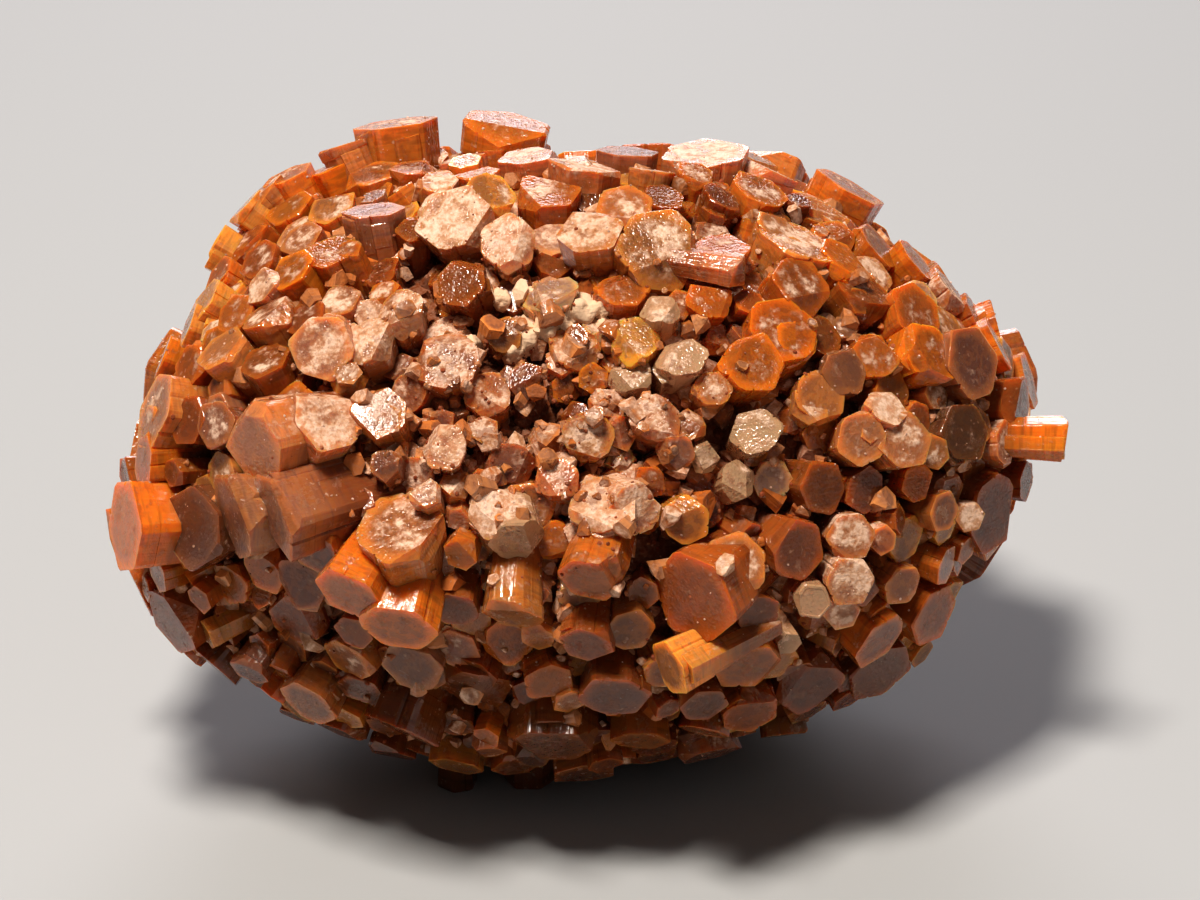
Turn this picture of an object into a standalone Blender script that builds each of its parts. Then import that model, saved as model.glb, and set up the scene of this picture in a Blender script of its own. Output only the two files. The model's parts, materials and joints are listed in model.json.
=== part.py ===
"""Aragonite cluster: stubby six-sided prisms that grew outwards from one heart, all joined in one stone.

The stone is one solid. It rests on the level ends of a few prisms that grew straight down.
+Z is up, +X runs along the longest way through the stone, and the origin is on the ground
below the middle of its box. The side with the hollow of small crystals faces -Y.
"""

import math
import random
from dataclasses import dataclass, replace

import bmesh
import bpy
from mathutils import Vector

MM = 0.001
SIXTH_TURN = math.pi / 3

# Half sizes of the egg-shaped shell that the crystals' ends lie on, and the height of its middle.
SHELL_HALF = Vector((29.2, 22.0, 18.9)) * MM
HEART = Vector((-0.17, 1.06, 19.5)) * MM
# The crystals sprout from a short line through the heart, along X.
SEED_LINE_HALF = 11.0 * MM
SEED_LINE_SHARE = 0.45
# The rock below the crystals lies this far under the shell, on a ball cut into this many steps.
CORE_DEPTH = 3.2 * MM
CORE_SUBDIVISIONS = 2

# The photograph's line of sight: turned and raised so, from this far, at this size of a pixel
# at the heart's distance. The heart is at HEART_COLUMN, HEART_ROW of the 1200 x 900 picture.
SIGHT_AZIMUTH = math.radians(-12.0)
SIGHT_ELEVATION = math.radians(25.0)
SIGHT_DISTANCE = 260.0 * MM
PIXEL = 0.062 * MM
PICTURE_MIDDLE = (600, 450)
HEART_COLUMN, HEART_ROW = 575, 448

# A prism reaches this many times its width inwards, within these limits, and narrows to its root.
# Its corners are this uneven, in radians and as a share of its width.
REACH_IN_WIDTHS = 2.2
LEAST_REACH, MOST_REACH = 6.2 * MM, 10.0 * MM
FOOT_REACH = 11.0 * MM
ROOT_SHARE = 0.72
CORNER_UNEVEN = 0.07

# Crystals that fill the shell between the seen ones: widths in mm in each pass, wide ones first.
# Their spacing is a share of their mean width, and their ends lie between FILL_SINK under the
# shell and FILL_LIFT over it.
FILL_WIDTHS_SEEN_SIDE = (3.4, 2.5)
FILL_WIDTHS_FAR_SIDE = (5.6, 4.4)
FILL_TRIES = 2600
FILL_SPACING = 1.12
FILL_UNEVEN = (0.85, 1.12)
FILL_TILT = math.radians(9.0)
FILL_LIFT = 0.9 * MM
FILL_SINK = 0.36 * MM
FILL_SEED = 41
LEAST_CLEARANCE = 0.35 * MM
# A crystal that points down less steeply than this slope is ended as if it had this slope.
STEEP = 0.3

CRYSTAL_COLOUR = (0.42, 0.13, 0.04, 1.0)
CRYSTAL_ROUGHNESS = 0.35


@dataclass(frozen=True)
class Hollow:
    """A dip in the shell, centred where a pixel of the photograph looks, wide and deep in mm."""

    column: float
    row: float
    width: float
    depth: float


@dataclass(frozen=True)
class Seen:
    """A prism that the photograph shows.

    column and row are the pixel of its flat end's middle, across its width between flats in mm.
    heading is the way that it points in the picture, in degrees from the right towards the top,
    facing its degrees towards the eye, and lift its height over the shell in mm. twist turns it
    about itself in degrees, and long makes it reach further in.
    """

    column: float
    row: float
    across: float
    heading: float
    facing: float
    lift: float
    twist: float
    long: float = 1.0


@dataclass(frozen=True)
class Foot:
    """A prism that grew straight down and bears on the ground, x and y mm from below the heart."""

    x: float
    y: float
    across: float


@dataclass(frozen=True)
class Crystal:
    """A placed prism: the middle of its end, the way it points, its width, reach and twist."""

    tip: Vector
    axis: Vector
    across: float
    reach: float
    twist: float


HOLLOWS = (
    Hollow(column=545, row=385, width=8.5, depth=2.4),
    Hollow(column=700, row=470, width=6.0, depth=1.4),
    Hollow(column=270, row=640, width=6.5, depth=3.4),
    Hollow(column=470, row=665, width=5.5, depth=3.0),
    Hollow(column=930, row=225, width=8.0, depth=2.6),
    Hollow(column=115, row=360, width=7.5, depth=3.4),
    Hollow(column=1005, row=590, width=5.0, depth=2.8),
    Hollow(column=620, row=110, width=6.0, depth=2.6),
)

# The overhanging row of broad prisms, from the left end to the middle of the lower edge.
LEDGE = (
    Seen(column=122, row=526, across=5.2, heading=182, facing=24, lift=1.2, twist=8),
    Seen(column=190, row=528, across=4.6, heading=195, facing=48, lift=0.4, twist=20),
    Seen(column=228, row=520, across=5.0, heading=190, facing=22, lift=1.0, twist=12),
    Seen(column=270, row=520, across=4.9, heading=196, facing=24, lift=1.5, twist=2, long=1.2),
    Seen(column=312, row=553, across=3.2, heading=225, facing=40, lift=0.7, twist=15),
    Seen(column=348, row=597, across=4.0, heading=240, facing=30, lift=1.7, twist=28),
    Seen(column=397, row=634, across=4.2, heading=256, facing=24, lift=2.2, twist=24),
    Seen(column=402, row=524, across=4.7, heading=100, facing=52, lift=0.9, twist=10),
    Seen(column=246, row=446, across=5.0, heading=194, facing=30, lift=1.8, twist=5, long=1.4),
    Seen(column=330, row=412, across=4.0, heading=60, facing=58, lift=1.3, twist=20),
    Seen(column=456, row=612, across=2.5, heading=258, facing=44, lift=0.8, twist=6),
    Seen(column=512, row=622, across=3.5, heading=268, facing=24, lift=1.6, twist=26),
    Seen(column=590, row=582, across=3.4, heading=252, facing=36, lift=1.1, twist=14),
    Seen(column=586, row=648, across=2.9, heading=262, facing=38, lift=0.3, twist=3),
    Seen(column=668, row=668, across=3.1, heading=205, facing=28, lift=1.5, twist=9),
    Seen(column=690, row=602, across=5.2, heading=215, facing=52, lift=1.1, twist=17),
    Seen(column=738, row=562, across=3.6, heading=60, facing=60, lift=0.6, twist=25),
)

# Prisms packed side by side like kernels, from the left end up to the crown.
LEFT_FLANK = (
    Seen(column=150, row=410, across=4.6, heading=172, facing=25, lift=0.7, twist=4),
    Seen(column=140, row=461, across=3.0, heading=185, facing=24, lift=0.4, twist=22),
    Seen(column=185, row=420, across=2.9, heading=170, facing=45, lift=0.1, twist=11),
    Seen(column=214, row=424, across=2.7, heading=175, facing=52, lift=0.0, twist=19),
    Seen(column=160, row=356, across=2.7, heading=158, facing=14, lift=0.2, twist=7),
    Seen(column=188, row=366, across=2.5, heading=160, facing=40, lift=0.1, twist=13),
    Seen(column=220, row=347, across=3.0, heading=130, facing=30, lift=0.7, twist=1),
    Seen(column=264, row=359, across=2.9, heading=115, facing=35, lift=0.3, twist=16),
    Seen(column=264, row=308, across=3.1, heading=120, facing=28, lift=0.9, twist=24),
    Seen(column=203, row=299, across=3.0, heading=150, facing=20, lift=0.5, twist=9),
    Seen(column=233, row=312, across=2.6, heading=140, facing=40, lift=0.3, twist=27),
    Seen(column=187, row=324, across=2.6, heading=160, facing=12, lift=0.3, twist=5),
    Seen(column=212, row=244, across=2.8, heading=150, facing=8, lift=0.5, twist=18),
    Seen(column=243, row=236, across=3.0, heading=140, facing=30, lift=0.5, twist=2),
    Seen(column=241, row=204, across=2.5, heading=145, facing=8, lift=0.6, twist=21),
    Seen(column=262, row=189, across=2.5, heading=130, facing=12, lift=0.6, twist=12),
    Seen(column=288, row=206, across=2.8, heading=125, facing=35, lift=0.8, twist=6),
    Seen(column=285, row=171, across=3.1, heading=120, facing=10, lift=0.5, twist=25),
    Seen(column=262, row=224, across=2.0, heading=140, facing=40, lift=0.2, twist=10),
    Seen(column=257, row=258, across=2.6, heading=140, facing=35, lift=0.3, twist=15),
    Seen(column=216, row=274, across=2.5, heading=150, facing=20, lift=0.3, twist=8),
    Seen(column=261, row=283, across=2.3, heading=140, facing=35, lift=0.9, twist=29),
    Seen(column=290, row=269, across=2.9, heading=130, facing=35, lift=0.8, twist=3),
    Seen(column=300, row=238, across=2.5, heading=125, facing=40, lift=0.2, twist=14),
    Seen(column=328, row=248, across=3.1, heading=115, facing=30, lift=0.7, twist=23),
    Seen(column=372, row=206, across=3.5, heading=100, facing=22, lift=1.0, twist=5),
    Seen(column=330, row=164, across=3.0, heading=115, facing=15, lift=0.6, twist=17),
    Seen(column=345, row=140, across=3.3, heading=115, facing=6, lift=0.4, twist=11),
    Seen(column=396, row=121, across=4.8, heading=98, facing=9, lift=0.7, twist=7),
    Seen(column=372, row=172, across=3.2, heading=105, facing=25, lift=0.3, twist=20),
    Seen(column=412, row=164, across=2.5, heading=95, facing=30, lift=0.4, twist=1),
    Seen(column=330, row=204, across=2.9, heading=115, facing=35, lift=0.3, twist=26),
    Seen(column=415, row=228, across=2.1, heading=95, facing=45, lift=0.0, twist=9),
    Seen(column=433, row=150, across=1.9, heading=80, facing=35, lift=0.1, twist=13),
    Seen(column=303, row=316, across=2.4, heading=125, facing=45, lift=0.3, twist=28),
    Seen(column=340, row=298, across=2.5, heading=115, facing=48, lift=0.2, twist=4),
)

# The top edge with its two proud blocks, and the slope behind it to the right.
CROWN = (
    Seen(column=508, row=120, across=5.2, heading=80, facing=17, lift=1.0, twist=26, long=1.1),
    Seen(column=438, row=180, across=2.3, heading=95, facing=35, lift=0.1, twist=6),
    Seen(column=465, row=160, across=1.8, heading=100, facing=30, lift=0.0, twist=19),
    Seen(column=492, row=190, across=3.1, heading=62, facing=40, lift=1.1, twist=15),
    Seen(column=455, row=218, across=4.1, heading=115, facing=62, lift=1.2, twist=8),
    Seen(column=507, row=240, across=3.3, heading=90, facing=70, lift=0.9, twist=22),
    Seen(column=586, row=160, across=3.9, heading=85, facing=20, lift=0.7, twist=3),
    Seen(column=652, row=168, across=2.5, heading=80, facing=10, lift=0.2, twist=12),
    Seen(column=706, row=145, across=4.9, heading=85, facing=14, lift=1.0, twist=29),
    Seen(column=770, row=166, across=3.4, heading=70, facing=8, lift=0.3, twist=7),
    Seen(column=852, row=184, across=4.3, heading=62, facing=10, lift=0.9, twist=18),
    Seen(column=588, row=228, across=3.5, heading=100, facing=50, lift=1.1, twist=10),
    Seen(column=625, row=205, across=3.1, heading=85, facing=50, lift=0.4, twist=24),
    Seen(column=658, row=246, across=4.8, heading=75, facing=62, lift=1.0, twist=5),
    Seen(column=747, row=272, across=1.9, heading=350, facing=15, lift=1.4, twist=0, long=1.2),
    Seen(column=712, row=296, across=2.7, heading=60, facing=60, lift=0.4, twist=16),
    Seen(column=722, row=242, across=3.3, heading=75, facing=40, lift=0.3, twist=2),
    Seen(column=800, row=232, across=4.9, heading=65, facing=35, lift=0.4, twist=21),
    Seen(column=800, row=282, across=3.7, heading=50, facing=45, lift=0.3, twist=13),
    Seen(column=785, row=326, across=4.2, heading=55, facing=50, lift=0.6, twist=27),
    Seen(column=755, row=361, across=3.4, heading=50, facing=62, lift=0.9, twist=9),
    Seen(column=548, row=190, across=3.6, heading=88, facing=35, lift=0.0, twist=14),
    Seen(column=622, row=286, across=2.9, heading=80, facing=52, lift=0.2, twist=4),
)

# Broad prisms at the far right end, with one stub that stands out sideways.
RIGHT_END = (
    Seen(column=936, row=352, across=3.7, heading=25, facing=48, lift=0.9, twist=6),
    Seen(column=976, row=362, across=4.3, heading=15, facing=45, lift=1.0, twist=20),
    Seen(column=1003, row=342, across=3.3, heading=20, facing=15, lift=0.5, twist=11),
    Seen(column=1024, row=410, across=3.9, heading=0, facing=20, lift=0.5, twist=2),
    Seen(column=1068, row=440, across=2.6, heading=358, facing=6, lift=2.6, twist=17, long=1.4),
    Seen(column=1000, row=515, across=4.7, heading=340, facing=30, lift=0.4, twist=25),
    Seen(column=966, row=432, across=3.3, heading=10, facing=55, lift=0.3, twist=8),
    Seen(column=906, row=440, across=3.3, heading=20, facing=62, lift=0.9, twist=14),
    Seen(column=864, row=436, across=2.9, heading=20, facing=68, lift=0.7, twist=28),
    Seen(column=888, row=404, across=2.5, heading=60, facing=50, lift=0.9, twist=5),
    Seen(column=848, row=368, across=2.7, heading=40, facing=55, lift=0.7, twist=19),
    Seen(column=920, row=312, across=3.7, heading=35, facing=40, lift=0.3, twist=1),
    Seen(column=918, row=259, across=2.9, heading=40, facing=15, lift=0.3, twist=23),
    Seen(column=952, row=288, across=2.9, heading=38, facing=12, lift=0.3, twist=10),
    Seen(column=976, row=310, across=2.5, heading=30, facing=12, lift=0.2, twist=15),
    Seen(column=882, row=240, across=3.3, heading=50, facing=20, lift=0.2, twist=7),
    Seen(column=868, row=286, across=3.4, heading=45, facing=40, lift=0.1, twist=26),
    Seen(column=945, row=512, across=2.3, heading=350, facing=45, lift=0.3, twist=12),
    Seen(column=948, row=566, across=2.3, heading=340, facing=25, lift=0.1, twist=3),
    Seen(column=846, row=256, across=3.3, heading=55, facing=30, lift=0.2, twist=18),
    Seen(column=880, row=352, across=2.9, heading=35, facing=50, lift=0.4, twist=9),
    Seen(column=822, row=396, across=3.0, heading=40, facing=62, lift=0.2, twist=22),
)

# The lower right slope: three small pale ends among broad brown ones.
LOWER_RIGHT = (
    Seen(column=851, row=582, across=2.8, heading=320, facing=70, lift=0.9, twist=10),
    Seen(column=813, row=602, across=2.1, heading=300, facing=72, lift=0.8, twist=4),
    Seen(column=843, row=614, across=2.0, heading=300, facing=65, lift=0.8, twist=21),
    Seen(column=853, row=537, across=2.6, heading=330, facing=68, lift=0.5, twist=13),
    Seen(column=885, row=541, across=1.6, heading=330, facing=60, lift=0.4, twist=27),
    Seen(column=905, row=586, across=2.4, heading=325, facing=50, lift=0.3, twist=6),
    Seen(column=936, row=616, across=3.7, heading=330, facing=35, lift=0.4, twist=17),
    Seen(column=881, row=676, across=4.1, heading=300, facing=40, lift=0.5, twist=2),
    Seen(column=812, row=692, across=3.9, heading=290, facing=40, lift=0.5, twist=24),
    Seen(column=748, row=668, across=3.9, heading=280, facing=40, lift=0.7, twist=11),
    Seen(column=790, row=645, across=1.4, heading=300, facing=50, lift=0.5, twist=8),
    Seen(column=924, row=655, across=1.9, heading=320, facing=20, lift=0.3, twist=19),
    Seen(column=703, row=734, across=2.7, heading=260, facing=15, lift=0.1, twist=5),
    Seen(column=785, row=738, across=2.7, heading=280, facing=10, lift=0.3, twist=16),
)

# The small crystals in and around the hollow of the front.
HOLLOW_CRYSTALS = (
    Seen(column=446, row=445, across=2.5, heading=90, facing=78, lift=1.6, twist=0),
    Seen(column=377, row=407, across=3.1, heading=120, facing=62, lift=0.9, twist=14),
    Seen(column=448, row=358, across=3.7, heading=100, facing=66, lift=0.9, twist=7),
    Seen(column=400, row=308, across=2.8, heading=110, facing=60, lift=0.6, twist=22),
    Seen(column=318, row=347, across=3.6, heading=150, facing=64, lift=1.1, twist=3),
    Seen(column=364, row=338, across=3.1, heading=110, facing=62, lift=0.9, twist=18),
    Seen(column=490, row=389, across=2.6, heading=90, facing=66, lift=0.4, twist=11),
    Seen(column=524, row=376, across=2.0, heading=80, facing=66, lift=0.3, twist=26),
    Seen(column=682, row=356, across=2.8, heading=80, facing=62, lift=1.2, twist=9),
    Seen(column=656, row=416, across=2.8, heading=90, facing=72, lift=1.2, twist=20),
    Seen(column=676, row=455, across=2.3, heading=280, facing=72, lift=0.9, twist=5),
    Seen(column=705, row=460, across=1.6, heading=300, facing=70, lift=0.7, twist=15),
    Seen(column=692, row=420, across=1.8, heading=60, facing=66, lift=0.8, twist=28),
    Seen(column=714, row=388, across=2.2, heading=60, facing=66, lift=0.7, twist=2),
    Seen(column=756, row=430, across=2.8, heading=60, facing=72, lift=0.7, twist=12),
    Seen(column=740, row=478, across=2.2, heading=30, facing=66, lift=0.5, twist=24),
    Seen(column=586, row=432, across=2.9, heading=90, facing=76, lift=0.8, twist=8),
    Seen(column=636, row=336, across=2.9, heading=90, facing=60, lift=0.7, twist=17),
    Seen(column=662, row=308, across=2.1, heading=80, facing=50, lift=0.6, twist=6),
    Seen(column=632, row=372, across=2.4, heading=90, facing=60, lift=0.3, twist=21),
    Seen(column=604, row=500, across=3.7, heading=100, facing=66, lift=1.3, twist=13),
    Seen(column=638, row=508, across=2.9, heading=330, facing=60, lift=1.2, twist=27),
    Seen(column=495, row=508, across=3.1, heading=95, facing=66, lift=1.1, twist=4),
    Seen(column=518, row=546, across=3.1, heading=280, facing=52, lift=1.0, twist=16),
    Seen(column=425, row=490, across=1.7, heading=110, facing=60, lift=1.2, twist=23),
    Seen(column=455, row=480, across=1.7, heading=80, facing=60, lift=0.7, twist=10),
    Seen(column=384, row=462, across=1.7, heading=120, facing=66, lift=0.3, twist=19),
    Seen(column=460, row=556, across=1.9, heading=250, facing=60, lift=0.9, twist=1),
    Seen(column=482, row=426, across=1.7, heading=80, facing=70, lift=0.4, twist=25),
    Seen(column=608, row=396, across=2.2, heading=90, facing=66, lift=0.4, twist=7),
    Seen(column=558, row=478, across=2.3, heading=90, facing=70, lift=0.6, twist=14),
)

# The shadowed underside below the ledge.
UNDERSIDE = (
    Seen(column=168, row=622, across=4.3, heading=214, facing=26, lift=1.0, twist=9),
    Seen(column=214, row=668, across=3.5, heading=230, facing=6, lift=0.3, twist=20),
    Seen(column=268, row=688, across=2.5, heading=250, facing=20, lift=0.9, twist=4),
    Seen(column=345, row=662, across=3.1, heading=225, facing=30, lift=0.3, twist=15),
    Seen(column=472, row=690, across=4.2, heading=250, facing=26, lift=0.4, twist=27),
    Seen(column=552, row=748, across=4.7, heading=268, facing=22, lift=0.3, twist=12),
    Seen(column=488, row=755, across=1.9, heading=265, facing=20, lift=0.3, twist=6),
    Seen(column=400, row=736, across=4.5, heading=250, facing=12, lift=0.3, twist=18),
    Seen(column=640, row=745, across=3.1, heading=272, facing=14, lift=0.3, twist=2),
    Seen(column=615, row=700, across=3.9, heading=270, facing=35, lift=0.2, twist=23),
    Seen(column=290, row=622, across=3.7, heading=230, facing=40, lift=0.3, twist=10),
    Seen(column=236, row=610, across=3.5, heading=222, facing=40, lift=0.3, twist=28),
)

# Two of these show at the lower edge of the photograph, and the others stand behind them.
FEET = (
    Foot(x=-8.8, y=-6.0, across=2.3),
    Foot(x=-4.2, y=-6.3, across=3.0),
    Foot(x=7.4, y=-3.8, across=3.6),
    Foot(x=4.6, y=6.2, across=3.8),
    Foot(x=-6.4, y=5.8, across=3.8),
)


def sight_frame():
    """The picture's right and up, and the way back to the eye."""
    turn, rise = SIGHT_AZIMUTH, SIGHT_ELEVATION
    right = Vector((math.cos(turn), math.sin(turn), 0.0))
    back = Vector(
        (math.sin(turn) * math.cos(rise), -math.cos(turn) * math.cos(rise), math.sin(rise))
    )
    return right, back.cross(right), back


def look_through(column, row):
    """The eye, and the way of the line of sight through a pixel."""
    right, up, back = sight_frame()
    middle = (
        HEART
        + right * (PICTURE_MIDDLE[0] - HEART_COLUMN) * PIXEL
        - up * (PICTURE_MIDDLE[1] - HEART_ROW) * PIXEL
    )
    eye = middle + back * SIGHT_DISTANCE
    aim = (
        middle
        + right * (column - PICTURE_MIDDLE[0]) * PIXEL
        + up * (PICTURE_MIDDLE[1] - row) * PIXEL
    )
    return eye, (aim - eye).normalized()


def in_shell_units(vector):
    """A vector measured in the shell's half sizes, in which the shell is a unit ball."""
    return Vector(vector[i] / SHELL_HALF[i] for i in range(3))


def meet_shell(column, row, lift):
    """Where the line of sight through a pixel meets the shell raised by lift, or passes nearest."""
    eye, way = look_through(column, row)
    grown = 1.0 + lift / SHELL_HALF.y
    start, step = in_shell_units(eye - HEART), in_shell_units(way)
    nearest = -start.dot(step) / step.dot(step)
    miss = (start + step * nearest).length_squared
    inside = max(0.0, grown**2 - miss) / step.dot(step)
    return eye + way * (nearest - math.sqrt(inside))


HOLLOW_MIDDLES = tuple(
    (meet_shell(hollow.column, hollow.row, 0.0), hollow.width * MM, hollow.depth * MM)
    for hollow in HOLLOWS
)


def dip_at(point):
    """How far the hollows take the shell in at a point."""
    return sum(
        depth * math.exp(-(((point - middle).length / width) ** 2))
        for middle, width, depth in HOLLOW_MIDDLES
    )


def outward_from(point):
    """The way that a crystal with its end at a point grows, away from the seed line."""
    along = max(-SEED_LINE_HALF, min(SEED_LINE_HALF, (point.x - HEART.x) * SEED_LINE_SHARE))
    return (point - HEART - Vector((along, 0.0, 0.0))).normalized()


def reach_of(across, long=1.0):
    """How far in from its end a prism of this width goes."""
    return max(LEAST_REACH, min(MOST_REACH, across * REACH_IN_WIDTHS * long))


def crystal_seen(seen):
    """The crystal behind a pixel of the photograph."""
    lift = seen.lift * MM
    tip = meet_shell(seen.column, seen.row, lift)
    tip = meet_shell(seen.column, seen.row, lift - dip_at(tip))
    right, up, back = sight_frame()
    heading, facing = math.radians(seen.heading), math.radians(seen.facing)
    flat = right * math.cos(heading) + up * math.sin(heading)
    axis = flat * math.cos(facing) + back * math.sin(facing)
    across = seen.across * MM
    return Crystal(tip, axis, across, reach_of(across, seen.long), math.radians(seen.twist))


def foot_crystal(foot):
    """A crystal that points straight down and ends on the ground."""
    across = foot.across * MM
    tip = Vector((HEART.x + foot.x * MM, HEART.y + foot.y * MM, 0.0))
    return Crystal(tip, Vector((0.0, 0.0, -1.0)), across, FOOT_REACH, foot.x)


def random_direction(rng):
    """A direction spread evenly over the ball."""
    height = rng.uniform(-1.0, 1.0)
    turn = rng.uniform(0.0, 2.0 * math.pi)
    girth = math.sqrt(1.0 - height * height)
    return Vector((girth * math.cos(turn), girth * math.sin(turn), height))


def tilted(axis, rng):
    """The axis leaned a little, any way."""
    sideways = random_direction(rng).cross(axis).normalized()
    return (axis + sideways * math.tan(rng.uniform(0.0, FILL_TILT))).normalized()


def clear_of_ground(crystal, clearance):
    """The crystal, ended a little earlier where its rim would come too near the ground."""
    lean = math.sqrt(max(0.0, 1.0 - crystal.axis.z**2))
    lowest = crystal.tip.z - lean * crystal.across / math.sqrt(3)
    if lowest > clearance:
        return crystal
    back = (clearance - lowest) / max(STEEP, -crystal.axis.z)
    return replace(crystal, tip=crystal.tip - crystal.axis * back)


def fill_between(placed):
    """Crystals over all the shell that the placed ones leave free, wide ones first."""
    rng = random.Random(FILL_SEED)
    _, _, back = sight_frame()
    crystals = list(placed)
    for wide_here, wide_behind in zip(FILL_WIDTHS_SEEN_SIDE, FILL_WIDTHS_FAR_SIDE):
        for _ in range(FILL_TRIES):
            way = random_direction(rng)
            share, twist = rng.uniform(*FILL_UNEVEN), rng.uniform(0.0, SIXTH_TURN)
            lift = rng.uniform(-FILL_SINK, FILL_LIFT)
            on_shell = HEART + Vector(way[i] * SHELL_HALF[i] for i in range(3))
            tip = on_shell + outward_from(on_shell) * (lift - dip_at(on_shell))
            across = (wide_here if way.dot(back) > 0.0 else wide_behind) * share * MM
            crystal = clear_of_ground(
                Crystal(tip, tilted(outward_from(tip), rng), across, reach_of(across), twist),
                LEAST_CLEARANCE + FILL_LIFT - lift,
            )
            crowded = any(
                (crystal.tip - other.tip).length < FILL_SPACING * (across + other.across) / 2
                for other in crystals
            )
            if not crowded:
                crystals.append(crystal)
    return crystals


def prism_object(name, crystal, rng):
    """A closed six-sided prism with slightly uneven corners, narrower at its root."""
    mesh = bpy.data.meshes.new(name)
    shape = bmesh.new()
    corner_radius = crystal.across / math.sqrt(3)
    root = crystal.tip - crystal.axis * crystal.reach
    side = crystal.axis.orthogonal().normalized()
    other = crystal.axis.cross(side)
    rings = []
    uneven = [
        (rng.uniform(-1, 1) * CORNER_UNEVEN, rng.uniform(-1, 1) * CORNER_UNEVEN) for _ in range(6)
    ]
    for middle, share in ((root, ROOT_SHARE), (crystal.tip, 1.0)):
        ring = []
        for corner, (turned, grown) in enumerate(uneven):
            angle = crystal.twist + SIXTH_TURN * corner + turned
            radius = corner_radius * (1.0 + grown) * share
            ring.append(
                shape.verts.new(
                    middle + side * math.cos(angle) * radius + other * math.sin(angle) * radius
                )
            )
        rings.append(ring)
    shape.faces.new(reversed(rings[0]))
    shape.faces.new(rings[1])
    for corner in range(6):
        after = (corner + 1) % 6
        shape.faces.new((rings[0][corner], rings[0][after], rings[1][after], rings[1][corner]))
    shape.to_mesh(mesh)
    shape.free()
    return bpy.data.objects.new(name, mesh)


def core_object(name):
    """The rock below the crystals: the shell taken in all round, with the same hollows."""
    mesh = bpy.data.meshes.new(name)
    shape = bmesh.new()
    bmesh.ops.create_icosphere(shape, subdivisions=CORE_SUBDIVISIONS, radius=1.0)
    for vert in shape.verts:
        on_shell = HEART + Vector(vert.co[i] * SHELL_HALF[i] for i in range(3))
        vert.co = on_shell - outward_from(on_shell) * (CORE_DEPTH + dip_at(on_shell))
    shape.to_mesh(mesh)
    shape.free()
    return bpy.data.objects.new(name, mesh)


def aragonite():
    """The translucent brown of the crystals."""
    material = bpy.data.materials.new("brown_aragonite")
    material.use_nodes = True
    shader = material.node_tree.nodes["Principled BSDF"]
    shader.inputs["Base Color"].default_value = CRYSTAL_COLOUR
    shader.inputs["Roughness"].default_value = CRYSTAL_ROUGHNESS
    shader.inputs["Metallic"].default_value = 0.0
    return material


def outer_skin(obj):
    """The object's evaluated mesh without the sealed pockets that its joined prisms leave inside."""
    bpy.context.view_layer.update()
    graph = bpy.context.evaluated_depsgraph_get()
    mesh = bpy.data.meshes.new_from_object(obj.evaluated_get(graph), depsgraph=graph)
    shape = bmesh.new()
    shape.from_mesh(mesh)
    skins, waiting = [], set(shape.faces)
    while waiting:
        skin = set()
        reached = [waiting.pop()]
        while reached:
            face = reached.pop()
            skin.add(face)
            beside = {near for edge in face.edges for near in edge.link_faces} & waiting
            waiting -= beside
            reached += beside
        skins.append(skin)
    skins.sort(key=len)
    for pocket in skins[:-1]:
        bmesh.ops.delete(shape, geom=list(pocket), context="FACES")
    shape.to_mesh(mesh)
    shape.free()
    return mesh


def clear_scene():
    """Removes the objects of the startup scene."""
    for obj in list(bpy.data.objects):
        bpy.data.objects.remove(obj)


def main():
    """Places the crystals and joins them and the core in one solid."""
    clear_scene()
    placed = [
        crystal_seen(seen)
        for group in (
            LEDGE, LEFT_FLANK, CROWN, RIGHT_END, LOWER_RIGHT, HOLLOW_CRYSTALS, UNDERSIDE
        )
        for seen in group
    ]
    placed += [foot_crystal(foot) for foot in FEET]
    rng = random.Random(FILL_SEED)
    crystals = fill_between(placed)
    guides = bpy.data.collections.new("prisms")
    guides.hide_render = True
    bpy.context.scene.collection.children.link(guides)
    for number, crystal in enumerate(crystals):
        prism = prism_object(f"prism_{number:03d}", crystal, rng)
        prism.hide_render = True
        prism.display_type = "WIRE"
        guides.objects.link(prism)
    cluster = core_object("aragonite_cluster")
    cluster.data.materials.append(aragonite())
    bpy.context.scene.collection.objects.link(cluster)
    joined = cluster.modifiers.new("crystals_joined", "BOOLEAN")
    joined.operation = "UNION"
    joined.operand_type = "COLLECTION"
    joined.collection = guides
    joined.solver = "EXACT"
    cluster.data = outer_skin(cluster)
    cluster.modifiers.remove(joined)
    for prism in list(guides.objects):
        bpy.data.objects.remove(prism)
    bpy.data.collections.remove(guides)
    print(len(placed), "seen and feet,", len(crystals), "in all")


main()
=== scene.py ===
"""The looks of a brown aragonite cluster: its prisms, small crystals, clay, dust and studio.

The prisms stand where part.py puts them. Each is cut in more detail here, smaller ones fill the
gaps between them, and all are joined in one closed piece, which stands for the plain solid.
"""

from __future__ import annotations

import json
import logging
import math
import random
from collections.abc import Callable, Iterable
from dataclasses import dataclass, field, replace
from enum import Enum, auto

import bmesh
import bpy
import numpy as np
from mathutils import Matrix, Vector, noise

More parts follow.
